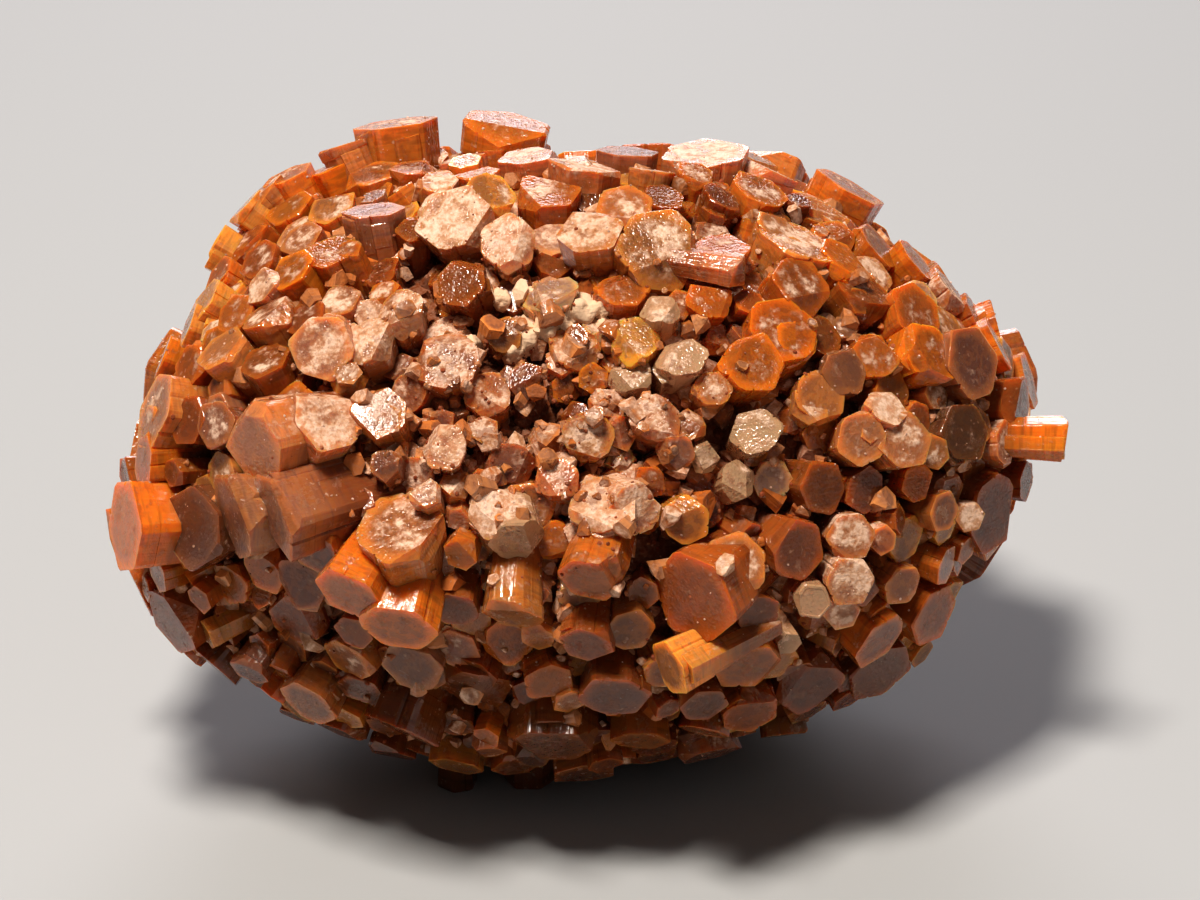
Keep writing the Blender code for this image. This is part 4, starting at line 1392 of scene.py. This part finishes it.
@dataclass(frozen=True)
class Rock:
    """The rock between the crystals: the rough core, the cream ridge, and the dark holes."""

    shell: Shell
    core_depth: float = 3.0 * MM
    core_steps: int = 5
    roughness: float = 0.55 * MM
    grain: float = 650.0
    lump_steps: int = 3
    lump_grain: float = 1.3
    lump_bend: float = 0.45
    ridge_sink: float = 2.4
    ridge_squash: float = 1.2
    hole_sink: float = 0.7
    hole_squash: float = 1.9

    def core(self) -> bpy.types.Object:
        """The rock under all the crystals, with a crumbly surface.

        Returns:
            The closed core.
        """
        shape = bmesh.new()
        bmesh.ops.create_icosphere(shape, subdivisions=self.core_steps, radius=1.0)
        for vert in shape.verts:
            on_shell = self.shell.on(vert.co)
            rough = noise.fractal(on_shell * self.grain, 1.0, 2.0, 3) * self.roughness
            inwards = self.core_depth + self.shell.dip(on_shell) - rough
            vert.co = on_shell - self.shell.outward(on_shell) * inwards
        return marked(NODE, shape, CORE_MARK)

    def lump(self, name: str, spot: Spot, mark: int, sink: float, squash: float) -> bpy.types.Object:
        """A rough lump at a pixel.

        Args:
            name: the object's name.
            spot: its pixel and size.
            mark: the number that its faces carry.
            sink: how far its middle lies under the shell, in metres.
            squash: how long it is along its way in, in widths.

        Returns:
            The closed lump.
        """
        middle = self.shell.pixel_point(spot.column, spot.row, -sink)
        turn = self.shell.outward(middle).to_track_quat("Z", "Y").to_matrix()
        shift = Vector((spot.column, spot.row, 0.0))
        shape = bmesh.new()
        bmesh.ops.create_icosphere(shape, subdivisions=self.lump_steps, radius=1.0)
        for vert in shape.verts:
            rough = noise.fractal(vert.co * self.lump_grain + shift, 1.0, 2.0, 3)
            own = Vector((vert.co.x, vert.co.y, vert.co.z * squash)) * (1.0 + self.lump_bend * rough)
            vert.co = middle + turn @ own * (spot.width * MM / 2)
        return marked(name, shape, mark)

    def ridge(self) -> list[bpy.types.Object]:
        """The cream lumps of the ridge.

        Returns:
            One closed lump for each.
        """
        sinks = [(self.ridge_sink - spot.depth) * MM for spot in RIDGE]
        return [
            self.lump(f"ridge_{place:02d}", RIDGE[place], RIDGE_MARK, sink, self.ridge_squash)
            for place, sink in enumerate(sinks)
        ]

    def holes(self) -> list[bpy.types.Object]:
        """The cutters of the dark holes.

        Returns:
            One closed lump for each.
        """
        cutters = []
        for place, spot in enumerate(HOLES):
            sink, squash = spot.depth * MM * self.hole_sink, self.hole_squash * spot.depth / spot.width
            cutters.append(self.lump(f"hole_{place:02d}", spot, HOLE_MARK, sink, squash))
        return cutters


def read(elements: bpy.types.bpy_prop_collection, name: str, kind: type, wide: int = 1) -> np.ndarray:
    """Reads one property of all elements of a mesh.

    Args:
        elements: its vertices, edges, loops, polygons or an attribute's values.
        name: the property.
        kind: the kind of its numbers.
        wide: how many numbers each element has.

    Returns:
        The numbers, in rows where an element has several.
    """
    values = np.empty(len(elements) * wide, kind)
    elements.foreach_get(name, values)
    return values.reshape(-1, wide) if wide > 1 else values


def store(mesh: bpy.types.Mesh, name: str, domain: str, values: np.ndarray) -> None:
    """Stores an array as a mesh attribute: rows of 1, 3 or 4 as numbers, vectors or colours.

    Args:
        mesh: the mesh.
        name: the attribute's name.
        domain: what it belongs to.
        values: one row for each element.
    """
    kinds = {1: ("FLOAT", "value"), 3: ("FLOAT_VECTOR", "vector"), 4: ("FLOAT_COLOR", "color")}
    kind, key = kinds[values.shape[1] if values.ndim > 1 else 1]
    layer = mesh.attributes.new(name, kind, domain)
    layer.data.foreach_set(key, np.ascontiguousarray(values, np.float32).ravel())


def dots(ones: np.ndarray, others: np.ndarray) -> np.ndarray:
    """The product of each row of one array with the same row of the other."""
    return np.einsum("ij,ij->i", ones, others)


@dataclass
class Cluster:
    """The whole stone: every prism and the rock joined in one closed piece, and its attributes.

    The twins' sizes are shares of the broad prism's width, shades and hues scale a crystal's
    tint, and settles is how much more dust lies on a level top than on an upright side. Painted
    shade: a crystal's tint is darkest, at the share darkest, at the height low in mm and brightens
    over rise mm further up, standing for the shade of the stone's underside.
    """

    shell: Shell = field(default_factory=Shell)
    cutter: PrismCutter = PrismCutter()
    twin_from: float = 2.5 * MM
    twin_counts: tuple[int, ...] = (0, 1, 1, 2)
    twin_slide: Pair = (0.2, 0.34)
    twin_drop: Pair = (0.1 * MM, 0.9 * MM)
    twin_across: Pair = (0.42, 0.66)
    shades: Pair = (0.8, 1.15)
    hues: Pair = (0.94, 1.06)
    dusts: Pair = (-0.12, 0.12)
    zoning: Pair = (0.35, 1.0)
    low: float = 5.0
    rise: float = 11.0
    darkest: float = 0.5
    palest: float = 0.95
    settles: float = 0.28
    clay_from: float = 1.5 * MM
    clay_full: float = 3.4 * MM
    roof_from: float = 0.4
    roof_rise: float = 1.8
    clean_round_holes: float = 1.6

    def __post_init__(self) -> None:
        """Starts without any prism."""
        self.planting = Planting(self.shell)
        self.prisms: list[Crystal] = []
        self.clear: list[bpy.types.Object] = []

    def twins(self, crystal: Crystal, rng: Rng) -> list[Crystal]:
        """Narrower prisms grown into a broad one's flanks, ending in steps below its end.

        Args:
            crystal: the broad prism.
            rng: the source of their places.

        Returns:
            One or two crystals, or none for a narrow prism or one on the ground.
        """
        if crystal.across < self.twin_from or crystal.tip.z <= 0.0:
            return []
        grown = []
        for _ in range(rng.choice(self.twin_counts)):
            slide = crystal.spoke(rng.uniform(0.0, FULL_TURN)) * crystal.across
            tip = crystal.tip + slide * rng.uniform(*self.twin_slide)
            tip -= crystal.axis * rng.uniform(*self.twin_drop)
            twin = replace(crystal, tip=tip, across=crystal.across * rng.uniform(*self.twin_across))
            grown.append(self.planting.clear(twin, self.planting.least_clearance))
        return grown

    def cut(self) -> list[bpy.types.Object]:
        """Cuts every prism and its twins, and keeps the clear ones apart.

        Returns:
            The others.
        """
        cut = []
        rng, twin_rng = Rng(SEED), Rng(SEED + 2)
        for place, crystal in enumerate(self.planting.all()):
            for part in [crystal, *self.twins(crystal, twin_rng)]:
                uneven = self.cutter.uneven(rng if part is crystal else twin_rng)
                self.prisms.append(part)
                mark, wear = len(self.prisms), self.shell.wear(part.tip)
                prism = self.cutter.cut(f"prism_{mark:04d}", part, uneven, wear, mark)
                is_clear = place < len(SEEN) and part.look in CLEAR_LOOKS
                (self.clear if is_clear else cut).append(prism)
        return cut

    def together(self, prisms: list[bpy.types.Object]) -> bpy.types.Mesh:
        """Puts several prisms in one mesh and takes them away.

        Args:
            prisms: their objects.

        Returns:
            The mesh.
        """
        shape = bmesh.new()
        for prism in prisms:
            shape.from_mesh(prism.data)
            bpy.data.objects.remove(prism)
        return meshed("clear", shape)

    def joined(self) -> bpy.types.Mesh:
        """Joins the prisms and the rock in one closed mesh, and cuts the holes.

        Returns:
            The mesh.
        """
        rock = Rock(self.shell)
        core = rock.core()
        bpy.context.scene.collection.objects.link(core)
        prisms = gathered("prisms", self.cut() + rock.ridge())
        holes = gathered("holes", rock.holes())
        for name, operation, group in (("holed", "DIFFERENCE", holes), ("grown", "UNION", prisms)):
            step = core.modifiers.new(name, "BOOLEAN")
            step.operation, step.operand_type = operation, "COLLECTION"
            step.collection, step.solver = group, "MANIFOLD"
        mesh = evaluated(core)
        discard(prisms)
        discard(holes)
        bpy.data.objects.remove(core)
        return mesh

    def skins(self, mesh: bpy.types.Mesh) -> np.ndarray:
        """A number for each vertex, the same for all those that edges join.

        Args:
            mesh: the mesh.

        Returns:
            The numbers.
        """
        one, other = read(mesh.edges, "vertices", np.int32, 2).T
        skin = np.arange(len(mesh.vertices))
        while True:
            before = skin.copy()
            least = np.minimum(skin[one], skin[other])
            np.minimum.at(skin, one, least)
            np.minimum.at(skin, other, least)
            skin = skin[skin]
            if np.array_equal(skin, before):
                return skin

    def without_pockets(self, mesh: bpy.types.Mesh) -> None:
        """Leaves only the outer skin of the mesh, without the sealed pockets inside it.

        Args:
            mesh: the joined mesh.
        """
        skin = self.skins(mesh)
        largest = np.bincount(skin).argmax()
        shape = bmesh.new()
        shape.from_mesh(mesh)
        inside = [vert for vert in shape.verts if skin[vert.index] != largest]
        bmesh.ops.delete(shape, geom=inside, context="VERTS")
        shape.to_mesh(mesh)
        shape.free()
        log.info("left out %d points of sealed pockets", len(inside))

    def crystal_layers(self, mesh: bpy.types.Mesh, points: np.ndarray) -> None:
        """Stores each crystal's place, tint (with painted shade low on the stone), dust, half width,
        zoning, and what is rock.

        Args:
            mesh: a mesh whose faces carry their crystal's number.
            points: its points.
        """
        count = len(self.prisms)
        marks = read(mesh.attributes["crystal"].data, "value", np.int32)
        normals = read(mesh.polygons, "normal", np.float32, 3)
        known = np.clip(marks - 1, 0, count - 1)
        tips = np.array([prism.tip for prism in self.prisms])
        axes = np.array([prism.axis for prism in self.prisms])
        sides = np.array([prism.sideways()[0] for prism in self.prisms])
        rng = np.random.default_rng(SEED)
        shades, hues = rng.uniform(*self.shades, (count, 1)), rng.uniform(*self.hues, (count, 3))
        dusts = np.array([TINTS[prism.look].dust for prism in self.prisms])
        dusts = (dusts + rng.uniform(*self.dusts, count))[known]
        zoned = rng.uniform(*self.zoning, count)
        # Painted shade: the tints of crystals low on the stone are darkened, down to half, for the shade of
        # its underside.
        raised = np.clip((tips[:, 2:3] / MM - self.low) / self.rise, 0.0, 1.0)
        tints_with_painted_shade = np.array([TINTS[prism.look].colour for prism in self.prisms])
        tints_with_painted_shade = tints_with_painted_shade * shades * hues * (self.darkest + (1.0 - self.darkest) * raised)
        tints_with_painted_shade = np.clip(tints_with_painted_shade, 0.0, self.palest)[known]
        halves = np.array([prism.across / 2 for prism in self.prisms])
        owner = np.repeat(known, read(mesh.polygons, "loop_total", np.int32))
        offset = points[read(mesh.loops, "vertex_index", np.int32)] - tips[owner]
        ways = (sides, np.cross(axes, sides), axes)
        place = np.stack([dots(offset, way[owner]) for way in ways], axis=1) * (1.0, 1.0, -1.0)
        settled = dusts + self.settles * np.clip(normals[:, 2], -0.6, 1.0) - 0.1
        store(mesh, "place", "CORNER", place / MM)
        store(mesh, "tint", "FACE", np.concatenate((tints_with_painted_shade, np.ones((len(marks), 1))), axis=1))
        store(mesh, "dust", "FACE", np.clip(settled, 0.0, 1.0))
        store(mesh, "endwise", "FACE", np.abs(dots(normals, axes[known])))
        store(mesh, "half", "FACE", halves[known] / MM)
        store(mesh, "zoned", "FACE", zoned[known])
        store(mesh, "rock", "FACE", marks <= CORE_MARK)
        store(mesh, "cream", "FACE", marks == RIDGE_MARK)
        mesh.polygons.foreach_set("use_smooth", marks <= CORE_MARK)

    def stone_layers(self, mesh: bpy.types.Mesh, points: np.ndarray) -> None:
        """Stores what a place on the stone says: clay, hollow, the way out and where grains lie.

        Args:
            mesh: the mesh.
            points: its points.
        """
        shell = self.shell
        under = shell.depth(points)
        clay = (under - self.clay_from) / (self.clay_full - self.clay_from)
        centre = shell.hollow_share(points)
        outward = points - np.array(shell.heart)
        along = outward[:, 0] * shell.seed_share
        outward[:, 0] -= np.clip(along, -shell.seed_half, shell.seed_half)
        outward /= np.linalg.norm(outward, axis=1, keepdims=True)
        roofed = np.clip((under / MM - self.roof_from) / self.roof_rise, 0.0, 1.0)
        crumbly = np.maximum(roofed * (0.4 + 0.6 * centre), 0.55 * centre**2)
        for middle, wide in self.planting.holes:
            gap = np.linalg.norm(points - np.array(middle), axis=1)
            crumbly = np.where(gap < wide * self.clean_round_holes, 0.0, crumbly)
        store(mesh, "clay", "POINT", np.clip(clay, 0.0, 1.0))
        store(mesh, "hollow", "POINT", centre)
        store(mesh, "outward", "POINT", outward)
        store(mesh, "crumbly", "POINT", crumbly)

    def dressed(self, name: str, mesh: bpy.types.Mesh, finish: CrystalFinish) -> bpy.types.Object:
        """A finished piece of crystals.

        Args:
            name: the piece's name.
            mesh: its faces, which carry their crystal's number.
            finish: its looks.

        Returns:
            The piece.
        """
        points = read(mesh.vertices, "co", np.float32, 3).astype(np.float64)
        self.crystal_layers(mesh, points)
        self.stone_layers(mesh, points)
        mesh.update()
        mesh.name = name
        mesh.materials.clear()
        mesh.materials.append(finish.material())
        log.info("%s: %d faces", name, len(mesh.polygons))
        return shown(name, mesh)

    def build(self, amber: CrystalFinish, clear: CrystalFinish) -> tuple[bpy.types.Object, ...]:
        """Makes the stone and its clear crystals.

        Args:
            amber: the looks of the stone.
            clear: the looks of the clear crystals.

        Returns:
            Both pieces.
        """
        mesh = self.joined()
        self.without_pockets(mesh)
        stone = self.dressed("aragonite_prisms", mesh, amber)
        return stone, self.dressed("clear_crystals", self.together(self.clear), clear)


@dataclass(frozen=True)
class Strewn:
    """One scatter over the stone.

    narrow and wide are the least and the most width in metres, short and long the lengths in
    widths, lean how far a grain tilts in radians, sink how deep it sits in lengths, tint and
    other_tint the two ends of its colours, and prisms whether it is a crystal or a crumb.
    density is how many there are on a square metre where the attribute is 1.
    """

    name: str
    attribute: str
    density: float
    least_gap: float
    narrow: float
    wide: float
    short: float
    long: float
    lean: float
    sink: float
    dust: float
    seed: int
    tint: Triple
    other_tint: Triple
    prisms: bool = False


DRUSE = Strewn(
    "small_crystals", "crumbly", density=1.3e6, least_gap=0.5 * MM, narrow=0.40 * MM, wide=1.6 * MM,
    short=0.7, long=1.4, lean=0.9, sink=0.12, dust=0.85, seed=5,
    tint=(0.50, 0.15, 0.032), other_tint=(0.62, 0.30, 0.15), prisms=True,
)
CLAY = Strewn(
    "clay_crumbs", "crumbly", density=2.2e6, least_gap=0.22 * MM, narrow=0.08 * MM, wide=0.42 * MM,
    short=0.6, long=1.0, lean=3.0, sink=0.0, dust=0.2, seed=6,
    tint=(0.22, 0.045, 0.014), other_tint=(0.40, 0.12, 0.05),
)
GRIT = Strewn(
    "pale_crumbs", "dust", density=1.6e6, least_gap=0.2 * MM, narrow=0.05 * MM, wide=0.22 * MM,
    short=0.6, long=1.0, lean=3.0, sink=0.05, dust=1.0, seed=7,
    tint=(0.82, 0.56, 0.44), other_tint=(0.56, 0.31, 0.20),
)


@dataclass
class Scatter:
    """Strews small crystals or crumbs over the stone with Geometry Nodes, as one plain mesh."""

    strewn: Strewn
    shapes: int = 6
    shape_across: float = 2.0 * MM
    shape_wear: float = 0.8
    flatness: Pair = (0.7, 1.0)
    shade: Pair = (0.65, 1.2)

    numbers: tuple[str, ...] = ("Density", "Least Gap", "Narrow", "Wide", "Short", "Long", "Lean")

    def __post_init__(self) -> None:
        """Cuts the shapes and starts the tree."""
        self.holder = self.worn_prisms() if self.strewn.prisms else None
        self.graph = Graph(bpy.data.node_groups.new(self.strewn.name, "GeometryNodeTree"))
        self.keys = self.sockets()
        self.source = self.graph.add("NodeGroupInput")

    def sockets(self) -> dict[str, str]:
        """Gives the tree its inputs and its output.

        Returns:
            The identifier of each input.
        """
        kinds = {"Geometry": "Geometry", **dict.fromkeys(self.numbers, "Float")}
        kinds |= {"Seed": "Int", "Finish": "Material"}
        face = self.graph.tree.interface
        face.new_socket("Geometry", in_out="OUTPUT", socket_type="NodeSocketGeometry")
        made = {
            name: face.new_socket(name, in_out="INPUT", socket_type="NodeSocket" + kind)
            for name, kind in kinds.items()
        }
        return {name: socket.identifier for name, socket in made.items()}

    def given(self, name: str) -> Value:
        """One of the tree's inputs."""
        return self.graph.out(self.source, name)

    def chance(self, low: Feed, high: Feed, turn: int) -> Value:
        """A number for each grain, drawn evenly between two."""
        inputs = {"Min": low, "Max": high, "Seed": self.given("Seed") + turn}
        return self.graph.new("FunctionNodeRandomValue", {"data_type": "FLOAT"}, inputs, "Value")

    def named(self, name: str, kind: str) -> Value:
        """A mesh attribute of the stone."""
        settings = {"data_type": kind}
        return self.graph.new("GeometryNodeInputNamedAttribute", settings, {"Name": name}, "Attribute")

    def worn_prisms(self) -> bpy.types.Collection:
        """A few small worn prisms a metre wide to pick from, with their own place in mm.

        Returns:
            Their collection.
        """
        cutter, rng = PrismCutter(), Rng(self.strewn.seed)
        up = Vector((0.0, 0.0, 1.0))
        tip = up * self.shape_across / 2
        crystal = Crystal(tip, up, self.shape_across, self.shape_across, 0.0, Look.ROSE)
        prisms = []
        for place in range(self.shapes):
            uneven = cutter.uneven(rng)
            prism = cutter.cut(f"worn_{place}", crystal, uneven, self.shape_wear, place + 1)
            own = prism.data.attributes.new("place", "FLOAT_VECTOR", "POINT")
            for vert in prism.data.vertices:
                own.data[vert.index].vector = (tip - vert.co) / MM / 2
            prism.data.transform(Matrix.Scale(1.0 / self.shape_across, 4))
            prisms.append(prism)
        return gathered(self.strewn.name + "_shapes", prisms)

    def grain(self) -> Value:
        """What is strewn, a metre wide.

        Returns:
            The worn prisms, or one crumb.
        """
        if self.holder:
            inputs = {"Collection": self.holder, "Separate Children": True, "Reset Children": True}
            settings = {"transform_space": "ORIGINAL"}
            return self.graph.new("GeometryNodeCollectionInfo", settings, inputs)
        return self.graph.new("GeometryNodeMeshIcoSphere", {}, {"Radius": 0.5, "Subdivisions": 1})

    def turned(self, normal: Value) -> Value:
        """How a grain is turned: out of the stone, leaned a little, and about itself.

        Args:
            normal: the stone's normal.

        Returns:
            The rotation.
        """
        graph, lean = self.graph, self.given("Lean")
        facing = graph.vector("ADD", self.named("outward", "FLOAT_VECTOR"), normal)
        turns = [self.chance(lean * -1.0, lean, turn) for turn in (1, 2)]
        euler = graph.combine(*turns, self.chance(0.0, FULL_TURN, 3))
        inputs = {
            "Rotation": graph.new("FunctionNodeAlignRotationToVector", {"axis": "Z"}, {"Vector": facing}),
            "Rotate By": graph.new("FunctionNodeEulerToRotation", {}, {0: euler}),
        }
        return graph.new("FunctionNodeRotateRotation", {"rotation_space": "LOCAL"}, inputs)

    def planted(self) -> Value:
        """The grains on the stone, as instances.

        Returns:
            The instances.
        """
        graph, given = self.graph, self.given
        inputs = {
            "Mesh": given("Geometry"),
            "Distance Min": given("Least Gap"),
            "Density Max": given("Density"),
            "Density Factor": self.named(self.strewn.attribute, "FLOAT"),
            "Seed": given("Seed"),
        }
        settings = {"distribute_method": "POISSON"}
        spread = graph.add("GeometryNodeDistributePointsOnFaces", settings, inputs)
        even = self.chance(0.0, 1.0, 4)
        across = given("Narrow") + even * even * (given("Wide") - given("Narrow"))
        length = self.chance(given("Short"), given("Long"), 5)
        flatter = self.chance(*self.flatness, 6)
        inputs = {
            "Points": graph.out(spread, "Points"),
            "Instance": self.grain(),
            "Pick Instance": self.holder is not None,
            "Rotation": self.turned(graph.out(spread, "Normal")),
            "Scale": graph.combine(across, across * flatter, across * length),
        }
        grains = graph.new("GeometryNodeInstanceOnPoints", {}, inputs)
        inwards = graph.combine(0.0, 0.0, across * length * -self.strewn.sink)
        inputs = {"Instances": grains, "Translation": inwards, "Local Space": True}
        return graph.new("GeometryNodeTranslateInstances", {}, inputs)

    def fill(self) -> None:
        """Writes the tree: it plants the grains, tints each of them and makes them real."""
        graph, strewn = self.graph, self.strewn
        share = self.chance(0.0, 1.0, 7)
        shade = self.chance(*self.shade, 8)
        tint = graph.blend(share, colour(*strewn.tint), colour(*strewn.other_tint))
        tint = graph.vector("MULTIPLY", tint, graph.combine(shade, shade, shade))
        geometry = self.planted()
        for name, kind, value in (
            ("tint", "FLOAT_VECTOR", tint),
            ("dust", "FLOAT", self.chance(0.0, strewn.dust, 9)),
            ("half", "FLOAT", 0.5),
        ):
            settings = {"data_type": kind, "domain": "INSTANCE"}
            inputs = {"Geometry": geometry, "Name": name, "Value": value}
            geometry = graph.new("GeometryNodeStoreNamedAttribute", settings, inputs)
        real = graph.new("GeometryNodeRealizeInstances", {}, {"Geometry": geometry})
        inputs = {"Geometry": real, "Material": self.given("Finish")}
        dressed = graph.new("GeometryNodeSetMaterial", {}, inputs)
        graph.add("NodeGroupOutput", {}, {"Geometry": dressed})

    def build(self, stone: bpy.types.Object, finish: bpy.types.Material) -> bpy.types.Object:
        """Strews the grains over the stone.

        Args:
            stone: the joined prisms.
            finish: the grains' material.

        Returns:
            The grains as one piece.
        """
        self.fill()
        strewn = self.strewn
        piece = shown(strewn.name, stone.data)
        step = piece.modifiers.new("strewn", "NODES")
        step.node_group = self.graph.tree
        for name in self.numbers:
            step[self.keys[name]] = getattr(strewn, name.lower().replace(" ", "_"))
        step[self.keys["Seed"]] = strewn.seed
        step[self.keys["Finish"]] = finish
        mesh = evaluated(piece)
        mesh.name = strewn.name
        piece.modifiers.remove(step)
        piece.data = mesh
        if self.holder:
            discard(self.holder)
        log.info("%s: %d faces", strewn.name, len(mesh.polygons))
        return piece


@dataclass(frozen=True)
class Lamp:
    """A soft square light: where it stands from the stone in metres, its side and its watts."""

    name: str
    stands: Triple
    side: float
    watts: float
    tint: Triple = (1.0, 1.0, 1.0)


@dataclass(frozen=True)
class Studio:
    """The plain pale floor, the soft lights and the camera at the photograph's viewing angle."""

    sight: Sight
    floor_side: float = 4.0
    floor_colour: Colour = (0.42, 0.425, 0.43, 1.0)
    floor_roughness: float = 0.7
    floor_shine: float = 0.2
    sky: Colour = (0.64, 0.62, 0.60, 1.0)
    sky_strength: float = 0.10
    sensor: float = 36.0
    clip_start: float = 0.01
    lamps: tuple[Lamp, ...] = (
        Lamp("key", (-0.14, -0.14, 0.535), 0.12, 4.1, (1.0, 0.94, 0.86)),
        Lamp("front", (0.15, -0.5, 0.35), 0.35, 0.18),
        Lamp("back", (0.12, 0.55, 0.25), 0.30, 1.8, (0.97, 0.94, 1.0)),
    )

    def floor(self) -> bpy.types.Object:
        """The floor.

        Returns:
            Its object.
        """
        half = self.floor_side / 2
        mesh = bpy.data.meshes.new("floor")
        corners = [(-half, -half, 0.0), (half, -half, 0.0), (half, half, 0.0), (-half, half, 0.0)]
        mesh.from_pydata(corners, [], [(0, 1, 2, 3)])
        material = bpy.data.materials.new("floor")
        graph = Graph.of(material)
        paint = graph.matte(self.floor_colour, self.floor_roughness, self.floor_shine)
        graph.add("ShaderNodeOutputMaterial", {}, {"Surface": paint})
        mesh.materials.append(material)
        return shown("floor", mesh)

    def lamp(self, lamp: Lamp) -> None:
        """Hangs one light, turned to the stone.

        Args:
            lamp: the light.
        """
        light = bpy.data.lights.new(lamp.name, "AREA")
        light.shape, light.size = "SQUARE", lamp.side
        light.energy, light.color = lamp.watts, lamp.tint
        stand = shown(lamp.name, light)
        stand.location = self.sight.heart + Vector(lamp.stands)
        stand.rotation_euler = Vector(lamp.stands).to_track_quat("Z", "Y").to_euler()

    def world(self) -> None:
        """Makes the dim even light from all round."""
        world = bpy.data.worlds.new("studio")
        graph = Graph.of(world)
        inputs = {"Color": self.sky, "Strength": self.sky_strength}
        sky = graph.new("ShaderNodeBackground", {}, inputs)
        graph.add("ShaderNodeOutputWorld", {}, {"Surface": sky})
        bpy.context.scene.world = world

    def camera(self) -> None:
        """Puts the camera where the photograph was taken from."""
        sight = self.sight
        lens = bpy.data.cameras.new("camera")
        lens.sensor_width = self.sensor
        lens.lens = lens.sensor_width * sight.distance / (sight.width * sight.pixel)
        lens.clip_start = self.clip_start
        camera = shown("camera", lens)
        turn = Matrix((sight.right, sight.up, sight.back)).transposed()
        camera.matrix_world = Matrix.Translation(sight.eye) @ turn.to_4x4()
        bpy.context.scene.camera = camera

    def build(self) -> None:
        """Sets up the studio."""
        self.floor()
        for lamp in self.lamps:
            self.lamp(lamp)
        self.world()
        self.camera()
        bpy.context.scene.view_settings.view_transform = "Standard"
        bpy.context.scene.view_settings.look = "Medium High Contrast"


def clear_startup() -> None:
    """Takes the startup scene's own objects away."""
    for name in ("Cube", "Light", "Camera"):
        if name in bpy.data.objects:
            bpy.data.objects.remove(bpy.data.objects[name])


def main() -> None:
    """Builds the stone and the studio in order."""
    logging.basicConfig(level=logging.INFO, format="%(name)s %(message)s")
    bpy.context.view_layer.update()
    clear_startup()
    cluster = Cluster()
    clear = CrystalFinish(
        "clear_crystal", clearness=0.55, glow=0.0, wash=0.8, dustiness=1.3, density=700.0
    )
    stone, windows = cluster.build(CrystalFinish("amber_crystal"), clear)
    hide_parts(NODE)
    small = CrystalFinish("small_crystal", glow=0.0).material()
    grit = GritFinish("clay_and_dust").material()
    pieces = [stone, windows]
    for strewn, material in ((DRUSE, small), (CLAY, grit), (GRIT, grit)):
        pieces.append(Scatter(strewn).build(stone, material))
    for piece in pieces:
        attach(piece, BODY)
    Studio(cluster.shell.sight).build()


if __name__ == "__main__":
    main()
